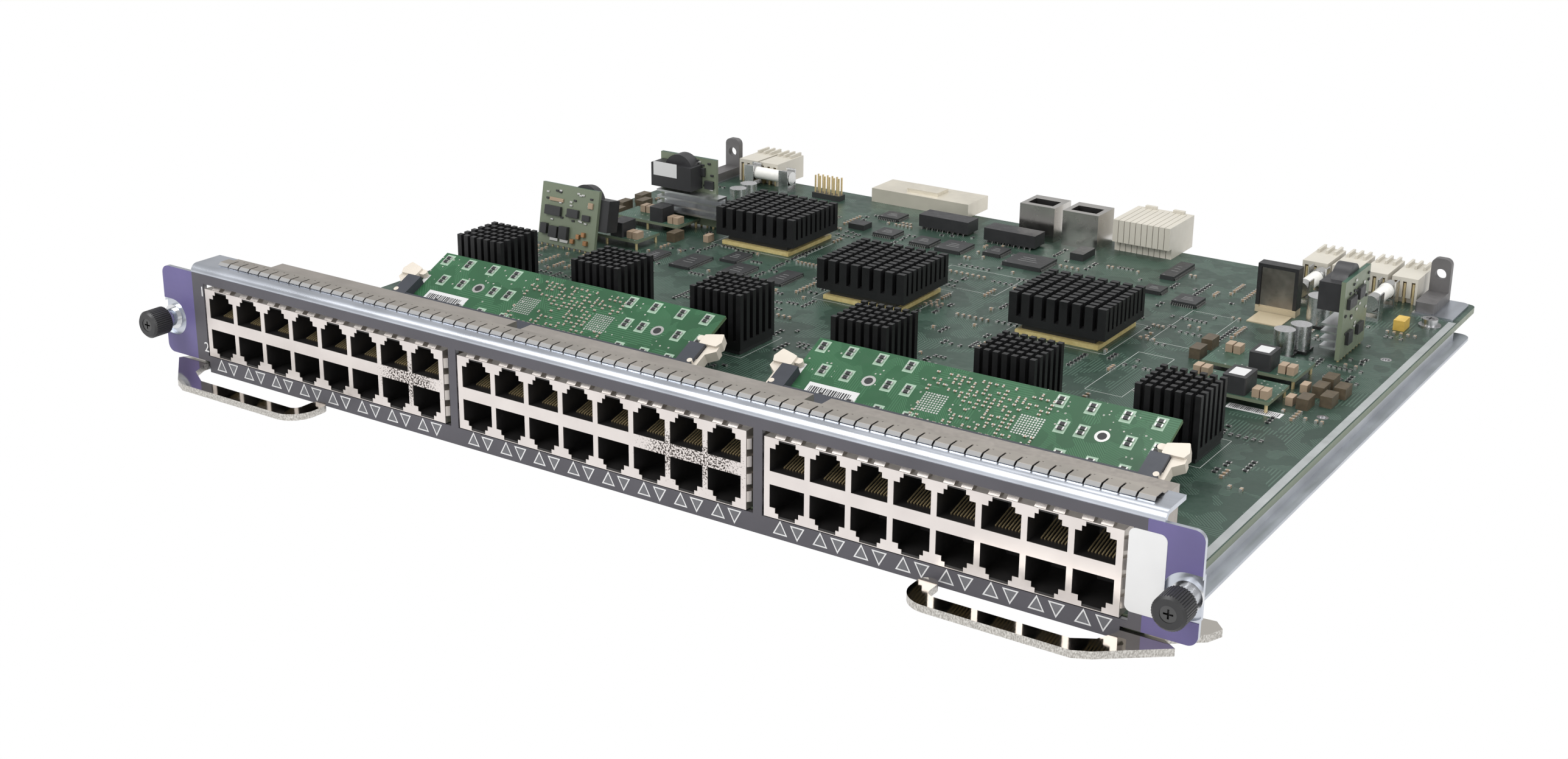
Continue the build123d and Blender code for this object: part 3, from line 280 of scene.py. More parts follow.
def joined(name, pieces):
    """Joins the pieces into one, in the first one's frame."""
    select_only(*pieces)
    if len(pieces) > 1:
        bpy.ops.object.join()
    piece = bpy.context.active_object
    piece.name = name
    piece.data.name = name
    settle(piece)
    return piece


def copies(name, model, spots):
    """Copies a model with its mesh to (x, y, z, turn) spots, and joins the copies into one piece."""
    made = []
    for x, y, z, turn in spots:
        twin = model.copy()
        twin.data = model.data.copy()
        bpy.context.scene.collection.objects.link(twin)
        turned = Matrix.Rotation(math.radians(turn), 4, "Z")
        twin.matrix_world = Matrix.Translation(place(x, y, z)) @ turned
        made.append(twin)
    mesh = model.data
    bpy.data.objects.remove(model)
    piece = joined(name, made)
    bpy.data.meshes.remove(mesh)
    return piece


def at_origin(piece):
    """Moves a piece modelled at the face's middle to the origin, ready to be copied."""
    piece.location = -place(0, 0, 0)
    settle(piece)
    return piece


def paint(piece, *finishes):
    """Gives a piece its finishes, one for each material slot."""
    piece.data.materials.clear()
    for finish in finishes:
        piece.data.materials.append(finish)
    return piece


def on_card(piece, body="base"):
    """The piece rides with a body of the card."""
    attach(piece, body)
    return piece


def chip_part(name, length, wide, tall, end, body_finish):
    """A tiny block along X with tinned ends, at the face's middle."""
    middle = slab(name, (end - length / 2, -wide / 2, 0), (length / 2 - end, wide / 2, tall))
    paint(middle, body_finish)
    tips = []
    for way in (-1, 1):
        x0, x1 = sorted((way * length / 2, way * (length / 2 - end)))
        tips.append(paint(slab(name, (x0, -wide / 2, 0), (x1, wide / 2, tall)), solder))
    return at_origin(joined(name, [middle] + tips))


board_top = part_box("main_board")[1].z / MM
clear_round, clear_above, skin = 1.2, 4.0, 0.2
cell = 1.0
busy = set()


def cells_of(x0, x1, y0, y1):
    """The squares of the board that a rectangle touches."""
    return {(i, j) for i in range(int(x0 // cell), int(x1 // cell) + 1)
            for j in range(int(y0 // cell), int(y1 // cell) + 1)}


for node in ("large_heat_sinks", "small_heat_sinks", "chip_packages", "logic_chips",
             "power_connectors", "wafer_connector", "rear_jack_shields", "rear_connector_shell",
             "module_sockets", "choke", "raised_boards", "transformers", "fuses", "electrolytic_cans",
             "corner_plates", "pin_header", "tantalum_blocks", "ceramic_capacitors",
             "converter_boards", "converter_sinks", "fuse_clips", "board_screws"):
    mesh = cad[node].data
    for face in mesh.polygons:
        low = [min(mesh.vertices[v].co[i] for v in face.vertices) / MM for i in (0, 1, 2)]
        high = [max(mesh.vertices[v].co[i] for v in face.vertices) / MM for i in (0, 1, 2)]
        if high[2] > board_top + skin and low[2] < board_top + clear_above:
            busy.update(cells_of(low[0] - clear_round, high[0] + clear_round,
                                 low[1] - face_mm - clear_round, high[1] - face_mm + clear_round))


def room_for(x, y, half_x, half_y):
    """Whether a small part fits on the board here, and marks its room as used."""
    cells = cells_of(x - half_x, x + half_x, y - half_y, y + half_y)
    if cells & busy:
        return False
    busy.update(cells)
    return True


dice = random.Random(7)
small_spots = {"small_resistor": [], "small_capacitor": []}
group_tries = 620
starts_x, starts_y = (-174, 172), (92, 298)
limit_x, limit_y = 176, 299
long_half, wide_half = 1.1, 0.6
for _ in range(group_tries):
    gx, gy = dice.uniform(*starts_x), dice.uniform(*starts_y)
    crowded = gy > 175 or abs(gx) > 100
    if not crowded and dice.random() < 0.35:
        continue
    kind = "small_resistor" if dice.random() < 0.55 else "small_capacitor"
    turn = dice.choice((0, 90))
    count = dice.choice((1, 2, 3, 4, 6, 8))
    step = dice.choice((1.9, 2.6))
    for i in range(count):
        x = gx + (i * step if turn == 90 else 0)
        y = gy + (i * step if turn == 0 else 0)
        half = (long_half, wide_half) if turn == 0 else (wide_half, long_half)
        if abs(x) < limit_x and y < limit_y and room_for(x, y, *half):
            small_spots[kind].append((x, y, board_top, turn))
tinned_length = 0.42
for kind, length, wide, tall, finish in (("small_resistor", 2.0, 1.15, 0.5, resistor_black),
                                         ("small_capacitor", 1.8, 1.0, 0.9, capacitor_tan)):
    model = chip_part(kind, length, wide, tall, tinned_length, finish)
    on_card(copies(kind + "s", model, small_spots[kind]))

# Printed outlines
# Thin frames in pale ink, printed on the board round each group of large parts. They lie flat
# on the solder mask.
line_width = 0.22
print_thickness = 0.03
frames = []
for x0, x1, y0, y1 in ((-112, -69, 218, 257), (-36, 6, 180, 219), (45, 87, 186, 225),
                       (-159, -133, 107, 134), (-101, -75, 107, 134), (-45.5, -19.5, 107, 134),
                       (15, 41.5, 107, 134), (72, 98, 107, 134), (130, 156, 107, 134),
                       (96, 110, 150, 196), (-12, 22, 224, 250), (94, 112, 210, 252)):
    for a, b in (((x0, y0), (x1, y0 + line_width)), ((x0, y1), (x1, y1 + line_width)),
                 ((x0, y0), (x0 + line_width, y1)), ((x1, y0), (x1 + line_width, y1))):
        frames.append(slab("outline", (*a, board_top), (*b, board_top + print_thickness)))
legend = surface_finish("board_legend", (0.42, 0.44, 0.42), 0.55)
on_card(paint(joined("printed_outlines", frames), legend))

# Ground strip
# A bare strip of tinned copper along the right edge of the board, where the chassis' guide
# touches it.
ground = slab("ground_strip", (180.2, 8.0, board_top), (183.0, 296.0, board_top + print_thickness))
on_card(paint(ground, surface_finish("ground_tin", (0.40, 0.42, 0.42), 0.45, 0.4)))

# Chip legs
# Rows of tinned legs along the sides of each flat chip and along the front of the two low
# transformers, bent down and out like a gull's wing and soldered to the board.
flat_chips = ((-72.5, -62.5, 292.0, 302.0, 1.6), (-61.0, -51.0, 268.0, 278.0, 1.6),
              (-41.0, -31.5, 265.0, 276.0, 1.6), (-28.0, -16.0, 264.0, 278.0, 1.6),
              (-8.0, 0.0, 270.0, 281.0, 1.6), (5.5, 23.0, 262.0, 278.0, 1.8),
              (67.0, 73.0, 283.0, 305.0, 1.8), (84.0, 94.0, 254.5, 265.0, 1.8),
              (68.0, 76.0, 262.0, 270.0, 1.6), (-94.0, -86.0, 199.0, 212.0, 1.2),
              (-107.0, -97.0, 181.0, 199.0, 1.2), (-84.0, -74.0, 183.0, 199.0, 1.2),
              (-62.0, -54.0, 184.0, 202.0, 1.2), (-123.0, -116.0, 182.0, 195.0, 1.2))
leg_pitch = 0.9
legs = []
for x0, x1, y0, y1, tall in flat_chips:
    for i in range(int((y1 - y0 - 1.0) / leg_pitch)):
        y = y0 + leg_pitch + i * leg_pitch
        legs.append((x0, y, board_top, 180))
        legs.append((x1, y, board_top, 0))
    four_sided = x1 - x0 > 8.5 and y1 - y0 < 12.5
    if four_sided:
        for i in range(int((x1 - x0 - 1.0) / leg_pitch)):
            x = x0 + leg_pitch + i * leg_pitch
            legs.append((x, y0, board_top, -90))
            legs.append((x, y1, board_top, 90))
transformer_legs, transformer_pitch = 9, 2.6
for x0, y0 in ((-50.4, 290.0), (-17.0, 288.0)):
    for i in range(transformer_legs):
        legs.append((x0 + 1.8 + i * transformer_pitch, y0, board_top, -90))
leg = joined("chip_leg", [slab("chip_leg", (0, -0.18, 0.75), (0.5, 0.18, 0.9)),
                          slab("chip_leg", (0.4, -0.18, 0.0), (0.55, 0.18, 0.8)),
                          slab("chip_leg", (0.5, -0.18, 0.0), (1.0, 0.18, 0.15))])
leg_tin = surface_finish("leg_tin", (0.30, 0.30, 0.29), 0.42, 0.7)
on_card(paint(copies("chip_legs", at_origin(leg), legs), leg_tin))

# Face plate
# One steel sheet, zinc plated: pressed dishes round the thumbscrews, and a top edge that is
# rolled back into a flange. The rolled bend is the brightest edge of the card.
dress("face_plate", surface_finish("rolled_zinc_sheet", (0.60, 0.63, 0.69), 0.30, 1.0, 0.12, 3.0, 0.004,
                                   (0.08, 1.0, 1.0)))

# Panel overlay
# A printed film stuck over the face: dark grey between the ears and purple on them, with a
# fine texture. Each status window has a pale printed outline, and the two rows of jacks are
# numbered at the left.
paint_edge = 183.5
film_grey = (0.066, 0.063, 0.074)
film_purple = (0.104, 0.088, 0.215)
film, tree, shader = start_finish("printed_film")
across = split_axes(tree, in_millimetres(tree))[0]
on_ear = maths(tree, "GREATER_THAN", maths(tree, "ABSOLUTE", across), paint_edge)
ink = {0: mixed(tree, on_ear, film_grey, film_purple), 3: patches(tree, 0.05, 0.9, 1.1)}
ink = add_node(tree, "ShaderNodeVectorMath", ink, operation="SCALE").outputs[0]
feed(tree, shader, {"Base Color": ink, "Roughness": patches(tree, 0.4, 0.40, 0.52)})
raised(tree, shader, mottle(tree, 5.0, 2.0), 0.006)
dress("panel_overlay", film)
print_ink = surface_finish("pale_print", (0.62, 0.62, 0.62), 0.5, 0.0, 0.06, 4.0, 0.002)
jack_pitch = 13.97
jack_blocks = (-120.2, 0.0, 120.2)
jack_columns = 8
window_shift = 0.8
window_spread = 3.0
window_z = 3.5
window_radius = 3.15
outline_width = 0.42
print_lift = 0.03
outlines = []
for way in (1, -1):
    deselect()
    bpy.ops.mesh.primitive_circle_add(vertices=3, radius=window_radius * MM, fill_type="NGON",
                                      location=place(0, -print_lift, 0), rotation=(math.pi / 2, 0, 0))
    outline = bpy.context.active_object
    bpy.ops.object.mode_set(mode="EDIT")
    bpy.ops.mesh.select_all(action="SELECT")
    bpy.ops.mesh.inset(thickness=outline_width * MM)
    bpy.ops.mesh.delete(type="FACE")
    bpy.ops.object.mode_set(mode="OBJECT")
    outline.scale = (0.94, way * 0.98, 1.0)
    settle(outline)
    at_origin(outline)
    spots = []
    for block in jack_blocks:
        for column in range(jack_columns):
            from_middle = (column - (jack_columns - 1) / 2) * jack_pitch
            x = block + from_middle + window_shift - way * window_spread
            spots.append((x, 0, window_z - way * 0.45, 0))
    outlines.append(copies("window_outline", outline, spots))
window_outlines = paint(joined("window_outlines", outlines), print_ink)
select_only(window_outlines)
bpy.ops.object.mode_set(mode="EDIT")
bpy.ops.mesh.select_all(action="SELECT")
bpy.ops.mesh.normals_make_consistent(inside=False)
bpy.ops.object.mode_set(mode="OBJECT")
on_card(window_outlines)


def printed_number(name, text, size, x, z):
    """A number printed flat on the face."""
    deselect()
    bpy.ops.object.text_add(location=place(x, -print_lift, z), rotation=(math.pi / 2, 0, 0))
    number = bpy.context.active_object
    number.data.body = text
    number.data.size = size * MM
    number.data.align_x = "CENTER"
    bpy.ops.object.convert(target="MESH")
    number.name = name
    settle(number)
    return number


number_size, number_x = 5.2, -178.6
numbers = [printed_number("row_number", text, number_size, number_x, z)
           for text, z in (("1", 28.6), ("2", 7.6))]
on_card(paint(joined("row_numbers", numbers), print_ink))

# Blank label
# A white paper label glued on the film of the right ear. It is bare, with a slight satin
# sheen.
label_paper = surface_finish("label_paper", (0.62, 0.62, 0.62), 0.55, 0.0, 0.03, 3.0, 0.004)
dress("blank_label", label_paper)

# Light pipes
# One clear, slightly milky moulding for each jack block. Their triangular ends fill the
# windows in the film and look mid grey while the lights behind them are off.
dress("light_pipes", surface_finish("milky_window", (0.12, 0.12, 0.13), 0.25, 0.0, 0.15, 2.0, 0.003))

# Spring strip on the flange
# A thin nickel plated spring strip, slit into fingers that press on the card above. Its
# rolled front edge is polished, and its bend carries a painted highlight in a near white
# colour; the rest is satin.
strip, tree, shader = start_finish("spring_strip")
strip_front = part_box("emi_finger_strip")[0].y / MM
rolled_depth = 1.1
# The rolled front band: polished, with a lower roughness, and painted near white as a highlight.
polished_highlit_edge = maths(tree, "LESS_THAN", split_axes(tree, in_millimetres(tree))[1], strip_front + rolled_depth)
tint = mixed(tree, patches(tree, 0.08), (0.44, 0.41, 0.37), (0.54, 0.50, 0.45))
feed(tree, shader, {"Base Color": mixed(tree, polished_highlit_edge, tint, (0.86, 0.86, 0.86)), "Metallic": 1.0,
                    "Roughness": spread(tree, polished_highlit_edge, 0.0, 1.0, 0.40, 0.14)})
raised(tree, shader, patches(tree, 0.5, 0.34, 0.46, 4.0, (1.0, 0.2, 1.0)), 0.004)
dress("emi_finger_strip", strip)

# Ejector levers and their rivets
# Blanked from thick steel, then nickel plated. The flat faces are polished to a mirror, and
# the sheared edge all round stays rough, with torn marks across it.
lever, tree, shader = start_finish("polished_nickel")
flat = spread(tree, maths(tree, "ABSOLUTE", facing_axes(tree)[2]), 0.4, 0.8)
sheared = maths(tree, "SUBTRACT", 1.0, flat)
tears = mottle(tree, 2.4, 6.0, (1.0, 1.0, 0.6))
edge_tint = mixed(tree, spread(tree, tears, 0.38, 0.62), (0.40, 0.38, 0.35), (0.72, 0.70, 0.66))
rough_edge = spread(tree, tears, 0.3, 0.7, 0.30, 0.50)
polish = patches(tree, 0.2, 0.05, 0.12, 4.0)
gloss = maths(tree, "ADD", maths(tree, "MULTIPLY", flat, polish),
              maths(tree, "MULTIPLY", sheared, rough_edge))
feed(tree, shader, {"Base Color": mixed(tree, flat, edge_tint, (0.74, 0.70, 0.64)),
                    "Metallic": 1.0, "Roughness": gloss})
raised(tree, shader, maths(tree, "MULTIPLY", tears, sheared), 0.05)
for node in ("right_ejector", "left_ejector"):
    dress(node, lever)
dress("ejector_pivots", plated_steel)

# Thumbscrews
# A black moulded knob with a fine knurl is pressed on a steel screw with a cross recess. It
# runs in a turned steel sleeve, with a spring behind the knob and a ring behind the panel.
knob_black = surface_finish("moulded_knob", (0.020, 0.020, 0.021), 0.42, 0.0, 0.2, 3.0, 0.010)
for side in ("left", "right"):
    dress(side + "_thumb_knob", knob_black)
    dress(side + "_thumb_screw", surface_finish(side + "_screw_black", (0.11, 0.11, 0.11), 0.3, 1.0))
    dress(side + "_retaining_ring", plated_steel)
    dress(side + "_thumb_spring", plated_steel)
dress("thumb_sleeves", surface_finish("turned_sleeve", (0.72, 0.73, 0.75), 0.18, 1.0, 0.08, 5.0, 0.006,
                                      (0.1, 1.0, 0.1)))

# Network jacks
# Each block is a folded box of nickel plated sheet round black mouldings. The sheet is warm
# and satin, with its front faces painted lighter and its other faces painted darker, as
# painted light and shade. In the left and middle blocks its face has dark corrosion specks
# between the rear columns. The contact wires are sprung and gold plated.
shield, tree, shader = start_finish("jack_sheet")
x_mm, y_mm, z_mm = split_axes(tree, in_millimetres(tree))
# 1 on faces turned to the front: it keeps the corrosion specks there, and it paints those faces lighter
#                                 and all other faces darker, as painted light and shade.
facing = spread(tree, facing_axes(tree)[1], -0.9, -0.5, 1.0, 0.0)


def between(tree, value, low, high, soft_edge):
    """1 where a value lies between two limits, with soft edges."""
    up = spread(tree, value, low - soft_edge, low + soft_edge)
    down = spread(tree, value, high - soft_edge, high + soft_edge, 1.0, 0.0)
    return maths(tree, "MULTIPLY", up, down)


left_patch = between(tree, x_mm, -92.0, -66.0, 5.0)
middle_patch = between(tree, x_mm, 18.0, 55.0, 6.0)
low_patch = between(tree, z_mm, 10.0, 26.0, 4.0)
patch = maths(tree, "MULTIPLY", maths(tree, "ADD", left_patch, middle_patch), low_patch)
patch = maths(tree, "MULTIPLY", patch, facing)
specks = mottle(tree, 1.6, 10.0)
limit = maths(tree, "SUBTRACT", 0.66, maths(tree, "MULTIPLY", patch, 0.15))
pitted = maths(tree, "MULTIPLY", maths(tree, "GREATER_THAN", specks, limit), patch)
# Painted light and shade: a lit copy of the sheet's colour for the front faces, a shaded copy for the
# rest.
lit_front_sheet = mixed(tree, patches(tree, 0.07), (0.72, 0.665, 0.64), (0.80, 0.745, 0.715))
shaded_side_sheet = mixed(tree, patches(tree, 0.07), (0.40, 0.365, 0.33), (0.48, 0.44, 0.40))
tint = mixed(tree, facing, shaded_side_sheet, lit_front_sheet)
satin = patches(tree, 0.6, 0.30, 0.46, 5.0)
feed(tree, shader, {"Base Color": mixed(tree, pitted, tint, (0.035, 0.026, 0.022)),
                    "Metallic": spread(tree, pitted, 0.0, 1.0, 0.85, 0.0),
                    "Roughness": maths(tree, "ADD", satin, maths(tree, "MULTIPLY", pitted, 0.4))})
raised(tree, shader, maths(tree, "SUBTRACT", mottle(tree, 2.0), pitted), 0.006)
dress("jack_shields", shield)
jack_black = surface_finish("jack_moulding", (0.016, 0.015, 0.015), 0.42, 0.0, 0.2, 2.0, 0.008)
for node in ("jack_frames", "jack_tongues", "jack_transformers"):
    dress(node, jack_black)
gold = surface_finish("gold_plate", (0.92, 0.74, 0.42), 0.38, 0.8, 0.08, 6.0, 0.002)
dress("jack_contacts", gold)

# Memory module boards
# Thin boards under a brighter green solder mask, each edge plated, held at a slant. Resistors
# stand in three staggered rows at both ends, with a cluster of parts in the middle.
module_green = board_finish("module_mask", (0.018, 0.085, 0.034), (0.040, 0.135, 0.062), 0.9, 0.34,
                            (0.10, 0.16, 0.08))
dress("module_boards", module_green)
print_ink_pale = surface_finish("pale_legend", (0.30, 0.42, 0.32), 0.5, 0.0, 0.06, 4.0, 0.002)
tilt = math.radians(25)
module_centres = (-88.35, 85.0)
module_foot = (69.5, 9.0)


def on_module(piece, centre):
    """Leans a piece modelled flat at the face's middle onto a module, from its lower edge."""
    piece.rotation_euler = (tilt, 0, 0)
    piece.location = place(centre, *module_foot)
    settle(piece)
    return piece


def flat_spots(name, model, spots):
    """Copies a model to (u, v, turn) spots on a flat plane at the face's middle."""
    return at_origin(copies(name, model, [(u, v, 0, turn) for u, v, turn in spots]))


row_start, row_middle = 18.3, 85.0
module_rows = (((3.5, 14.5, 26.5, 38, 93.5, 104.5, 116.5, 127.5), 31.0),
               ((9.5, 19, 35, 42.5, 98.5, 105.5, 121.5, 131), 20.5),
               ((15, 26, 37, 48, 102.5, 113.5, 124.5), 8.5))
tiny_tries, tiny_step = 260, (2.4, 1.7)
grid_count, grid_pitch = 9, 1.0
ring_thickness = 0.05
label_thickness, bar_thickness = 0.08, 0.03
module_parts = []
for centre in module_centres:
    spots = []
    for places, v in module_rows:
        for x in places:
            u = x + row_start - row_middle
            spots.append((u, v - 1.0, 0))
            spots.append((u, v + 1.0, 0))
    resistor = chip_part("module_resistor", 2.7, 1.35, 0.6, 0.5, resistor_black)
    module_parts.append(on_module(flat_spots("module_resistors", resistor, spots), centre))
    pad = paint(at_origin(slab("module_pad", (-1.95, -1.9, 0), (1.95, 3.9, 0.04))), print_ink_pale)
    module_parts.append(on_module(flat_spots("module_pads", pad, spots[::2]), centre))
    dice = random.Random(11)
    middle = []
    used = set()
    for _ in range(tiny_tries):
        u, v = dice.uniform(-19.0, 26.0), dice.uniform(7.0, 32.0)
        key = (int(u // tiny_step[0]), int(v // tiny_step[1]))
        in_grid = (-18.5 < u < -7.0 or 16.5 < u < 26.5) and 12.5 < v < 23.5
        if key in used or in_grid:
            continue
        used.add(key)
        middle.append((key[0] * tiny_step[0] + tiny_step[0] / 2,
                       key[1] * tiny_step[1] + tiny_step[1] / 2, dice.choice((0, 0, 90))))
    tiny = chip_part("module_tiny", 1.3, 0.7, 0.45, 0.34, capacitor_tan)
    module_parts.append(on_module(flat_spots("module_tiny_parts", tiny, middle), centre))
    dots = []
    for u0, v0 in ((-17.5, 13.5), (17.5, 13.5)):
        for i in range(grid_count):
            for j in range(grid_count):
                dots.append((u0 + i * grid_pitch, v0 + j * grid_pitch, 0))
    dot = paint(at_origin(slab("module_dot", (-0.3, -0.3, 0), (0.3, 0.3, 0.08))), solder)
    module_parts.append(on_module(flat_spots("module_grid", dot, dots), centre))
    rings = []
    # Each hole is a tinned ring round a black disc; the disc is painted shade for the hole.
    for u, v in ((-39.2, 20.5), (45.8, 20.5)):
        for radius, low, finish in ((2.5, 0.0, solder), (1.55, 0.03, resistor_black)):
            deselect()
            bpy.ops.mesh.primitive_cylinder_add(vertices=32, radius=radius * MM,
                                                depth=ring_thickness * MM,
                                                location=place(u, v, low + ring_thickness / 2))
            ring = bpy.context.active_object
            settle(ring)
            rings.append(paint(ring, finish))
    module_parts.append(on_module(at_origin(joined("module_holes", rings)), centre))
    label = at_origin(slab("module_label", (-58.7, 5.0, 0), (-39.0, 14.2, label_thickness)))
    module_parts.append(on_module(paint(label, label_paper), centre))
    bars = []
    dice = random.Random(3)
    x = -57.5
    while x < -41.0:
        wide = dice.choice((0.25, 0.4, 0.6))
        bars.append(slab("label_bar", (x, 9.6, label_thickness),
                         (x + wide, 12.6, label_thickness + bar_thickness)))
        x += wide + dice.choice((0.3, 0.45))
    bar_code = paint(at_origin(joined("module_label_bars", bars)), resistor_black)
    module_parts.append(on_module(bar_code, centre))
    mark = at_origin(slab("module_mark", (-66.0, 15.0, 0), (-64.2, 21.5, 0.05)))
    module_parts.append(on_module(paint(mark, label_paper), centre))
for piece in module_parts:
    on_card(piece)

# Module sockets and latches
# Long sockets moulded in slate plastic hold the modules by their lower edge. At each end an
# ivory nylon latch turns on a pin in the socket's tower and hooks over the module.
dress("module_sockets", surface_finish("slate_moulding", (0.042, 0.046, 0.058), 0.45, 0.0, 0.12, 2.0,
                                       0.008))
ivory = surface_finish("ivory_nylon", (0.66, 0.60, 0.52), 0.38, 0.0, 0.05, 1.5, 0.010)
for module in ("left_module", "right_module"):
    for end in ("left", "right"):
        dress(module + "_" + end + "_latch", ivory)
dress("latch_pins", ivory)

# Heat sinks
# Pin fin heat sinks sawn from aluminium extrusions and anodised black. The saw leaves fine
# lines across the fins' tops. They are glued on the chips.
sink_black = surface_finish("black_anodised", (0.016, 0.016, 0.017), 0.40, 0.35, 0.2, 3.0, 0.012,
                            (1.0, 0.15, 1.0))
dress("large_heat_sinks", sink_black)
dress("small_heat_sinks", sink_black)

# Chip packages under the sinks
# Square packages on the board: the large ones have a cream and gold rim that shows under
# the sink, and the small ones are dark.
package, tree, shader = start_finish("chip_package")
rim_height, large_from = 1.7, 160.0
x_mm, y_mm, z_mm = split_axes(tree, in_millimetres(tree))
low_rim = maths(tree, "LESS_THAN", z_mm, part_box("main_board")[1].z / MM + rim_height)
behind = maths(tree, "GREATER_THAN", y_mm, face_mm + large_from)
rim = maths(tree, "MULTIPLY", low_rim, behind)
cream = mixed(tree, patches(tree, 0.5), (0.50, 0.40, 0.16), (0.62, 0.52, 0.24))
feed(tree, shader, {"Base Color": mixed(tree, rim, (0.025, 0.026, 0.027), cream), "Roughness": 0.42})
raised(tree, shader, mottle(tree, 2.0), 0.006)
dress("chip_packages", package)

# Flat chips
# Moulded black packages soldered flat on the board, with a fine matte skin. Each has three
# short bars and a corner dot printed on its top in grey ink.
chip_black = surface_finish("chip_moulding", (0.026, 0.027, 0.028), 0.44, 0.0, 0.15, 4.0, 0.006)
dress("logic_chips", chip_black)
mark_ink = surface_finish("chip_legend", (0.16, 0.16, 0.16), 0.5)
mark_height, mark_thickness = 0.5, 0.02
dot_near, dot_far = 0.8, 1.5
marks = []
for x0, x1, y0, y1, tall in flat_chips:
    top = board_top + tall
    for row in range(3):
        y = y0 + (y1 - y0) * (0.35 + 0.15 * row)
        marks.append(slab("chip_mark", (x0 + (x1 - x0) * 0.25, y, top),
                          (x1 - (x1 - x0) * (0.25 + 0.08 * row), y + mark_height, top + mark_thickness)))
    marks.append(slab("chip_mark", (x0 + dot_near, y0 + dot_near, top),
                      (x0 + dot_far, y0 + dot_far, top + mark_thickness)))
on_card(paint(joined("chip_marks", marks), mark_ink))

# Converter boards
# Small power boards with a solder mask of their own, on gold plated pins. Three stand upright,
# one of them leaning back, and the rest lie flat. Finned aluminium bars cool the two tall ones.
converter_green = board_finish("converter_mask", (0.030, 0.075, 0.050), (0.060, 0.130, 0.090), 1.1, 0.36,
                               (0.16, 0.19, 0.13))
dress("converter_boards", converter_green)
dress("raised_boards", converter_green)
dress("converter_sinks", bare_aluminium)
dress("support_pins", gold)

# Parts on the converter boards
# Moulded chips, fired capacitors, copper windings and tinned resistors, soldered on one face of
# each upright board. Those of the leaning board are laid out upright, then turned with it.
copper = surface_finish("copper_winding", (0.52, 0.28, 0.14), 0.34, 0.9, 0.2, 3.0, 0.006)


def chip(name, low, high, finish):
    """A small moulded block."""
    return paint(slab(name, low, high, 0.12, 1), finish)


leaning_tries, left_tries, right_tries = 26, 34, 30
lean_angle, lean_foot_y, pin_length = 11.0, 175.2, 1.0
face = []
for x0, x1, z0, z1, proud, finish in (
        (-169.5, -161.0, 12.5, 16.5, 1.5, chip_black), (-157.5, -151.5, 13.0, 16.5, 1.4, chip_black),
        (-168.0, -160.5, 18.5, 20.0, 0.6, capacitor_tan), (-166.0, -161.5, 3.2, 8.0, 2.0, chip_black),
        (-160.5, -156.0, 3.2, 8.6, 2.0, chip_black), (-171.0, -167.5, 4.2, 8.6, 1.6, chip_black),
        (-166.0, -161.5, 1.6, 3.0, 0.5, solder), (-160.5, -156.0, 1.6, 3.0, 0.5, solder),
        (-151.5, -149.8, 4.4, 6.4, 1.3, copper), (-148.8, -147.0, 5.6, 7.6, 1.3, copper),
        (-154.5, -152.6, 2.0, 4.0, 1.3, copper), (-147.5, -145.5, 2.2, 4.2, 1.3, copper),
        (-149.5, -145.5, 12.5, 15.0, 1.0, chip_black), (-147.0, -144.5, 18.0, 20.5, 0.8, capacitor_tan)):
    face.append(chip("converter_part", (x0, -proud, z0), (x1, 0, z1), finish))
dice = random.Random(5)
for i in range(leaning_tries):
    x, z = dice.uniform(-170, -146), dice.uniform(9.4, 23.5)
    if 12.0 < z < 17.0 and (x < -160.5 or -158.0 < x < -151.0):
        continue
    finish = solder if i % 3 else chip_black
    face.append(chip("converter_part", (x, -0.5, z), (x + 1.5, 0, z + 0.8), finish))
tilted = at_origin(joined("tilted_converter_parts", face))
tilted.rotation_euler = (-math.radians(lean_angle), 0, 0)
tilted.location = place(0, lean_foot_y, board_top + pin_length)
settle(tilted)
on_card(tilted)
left_face_y, right_face_x = 236.0, 160.5
upright = []
for i in range(left_tries):
    x, z = dice.uniform(-150.5, -124.5), dice.uniform(23.5, 36.0)
    if x < -134.0:
        continue
    upright.append(chip("left_converter_part", (x, 235.4, z), (x + 1.6, left_face_y, z + 0.9),
                        solder if i % 2 else chip_black))
for x0, z0 in ((-132.0, 30.0), (-127.5, 24.5)):
    upright.append(chip("left_converter_part", (x0, 234.6, z0), (x0 + 4.5, left_face_y, z0 + 3.6),
                        chip_black))
for i in range(right_tries):
    y, z = dice.uniform(227.5, 251.5), dice.uniform(9.0, 35.0)
    upright.append(chip("right_converter_part", (right_face_x, y, z), (161.0, y + 1.6, z + 0.9),
                        solder if i % 2 else chip_black))
for y0, z0, wide, tall in ((229.0, 26.0, 8.0, 4.0), (240.0, 27.0, 6.0, 4.5), (231.0, 12.0, 5.0, 5.0),
                           (242.0, 13.0, 6.0, 4.0)):
    upright.append(chip("right_converter_part", (right_face_x, y0, z0), (161.9, y0 + wide, z0 + tall),
                        chip_black))
on_card(joined("upright_converter_parts", upright))

# Transformers and inductors
# Wound cores in dark boxes on the upright converters, two low transformers on the board, and
# a pressed ferrite inductor on each flat converter.
dress("transformers", surface_finish("wound_core", (0.024, 0.024, 0.026), 0.40, 0.0, 0.2, 1.5, 0.010))
dress("inductors", surface_finish("ferrite", (0.030, 0.030, 0.032), 0.48, 0.1, 0.2, 3.0, 0.010))

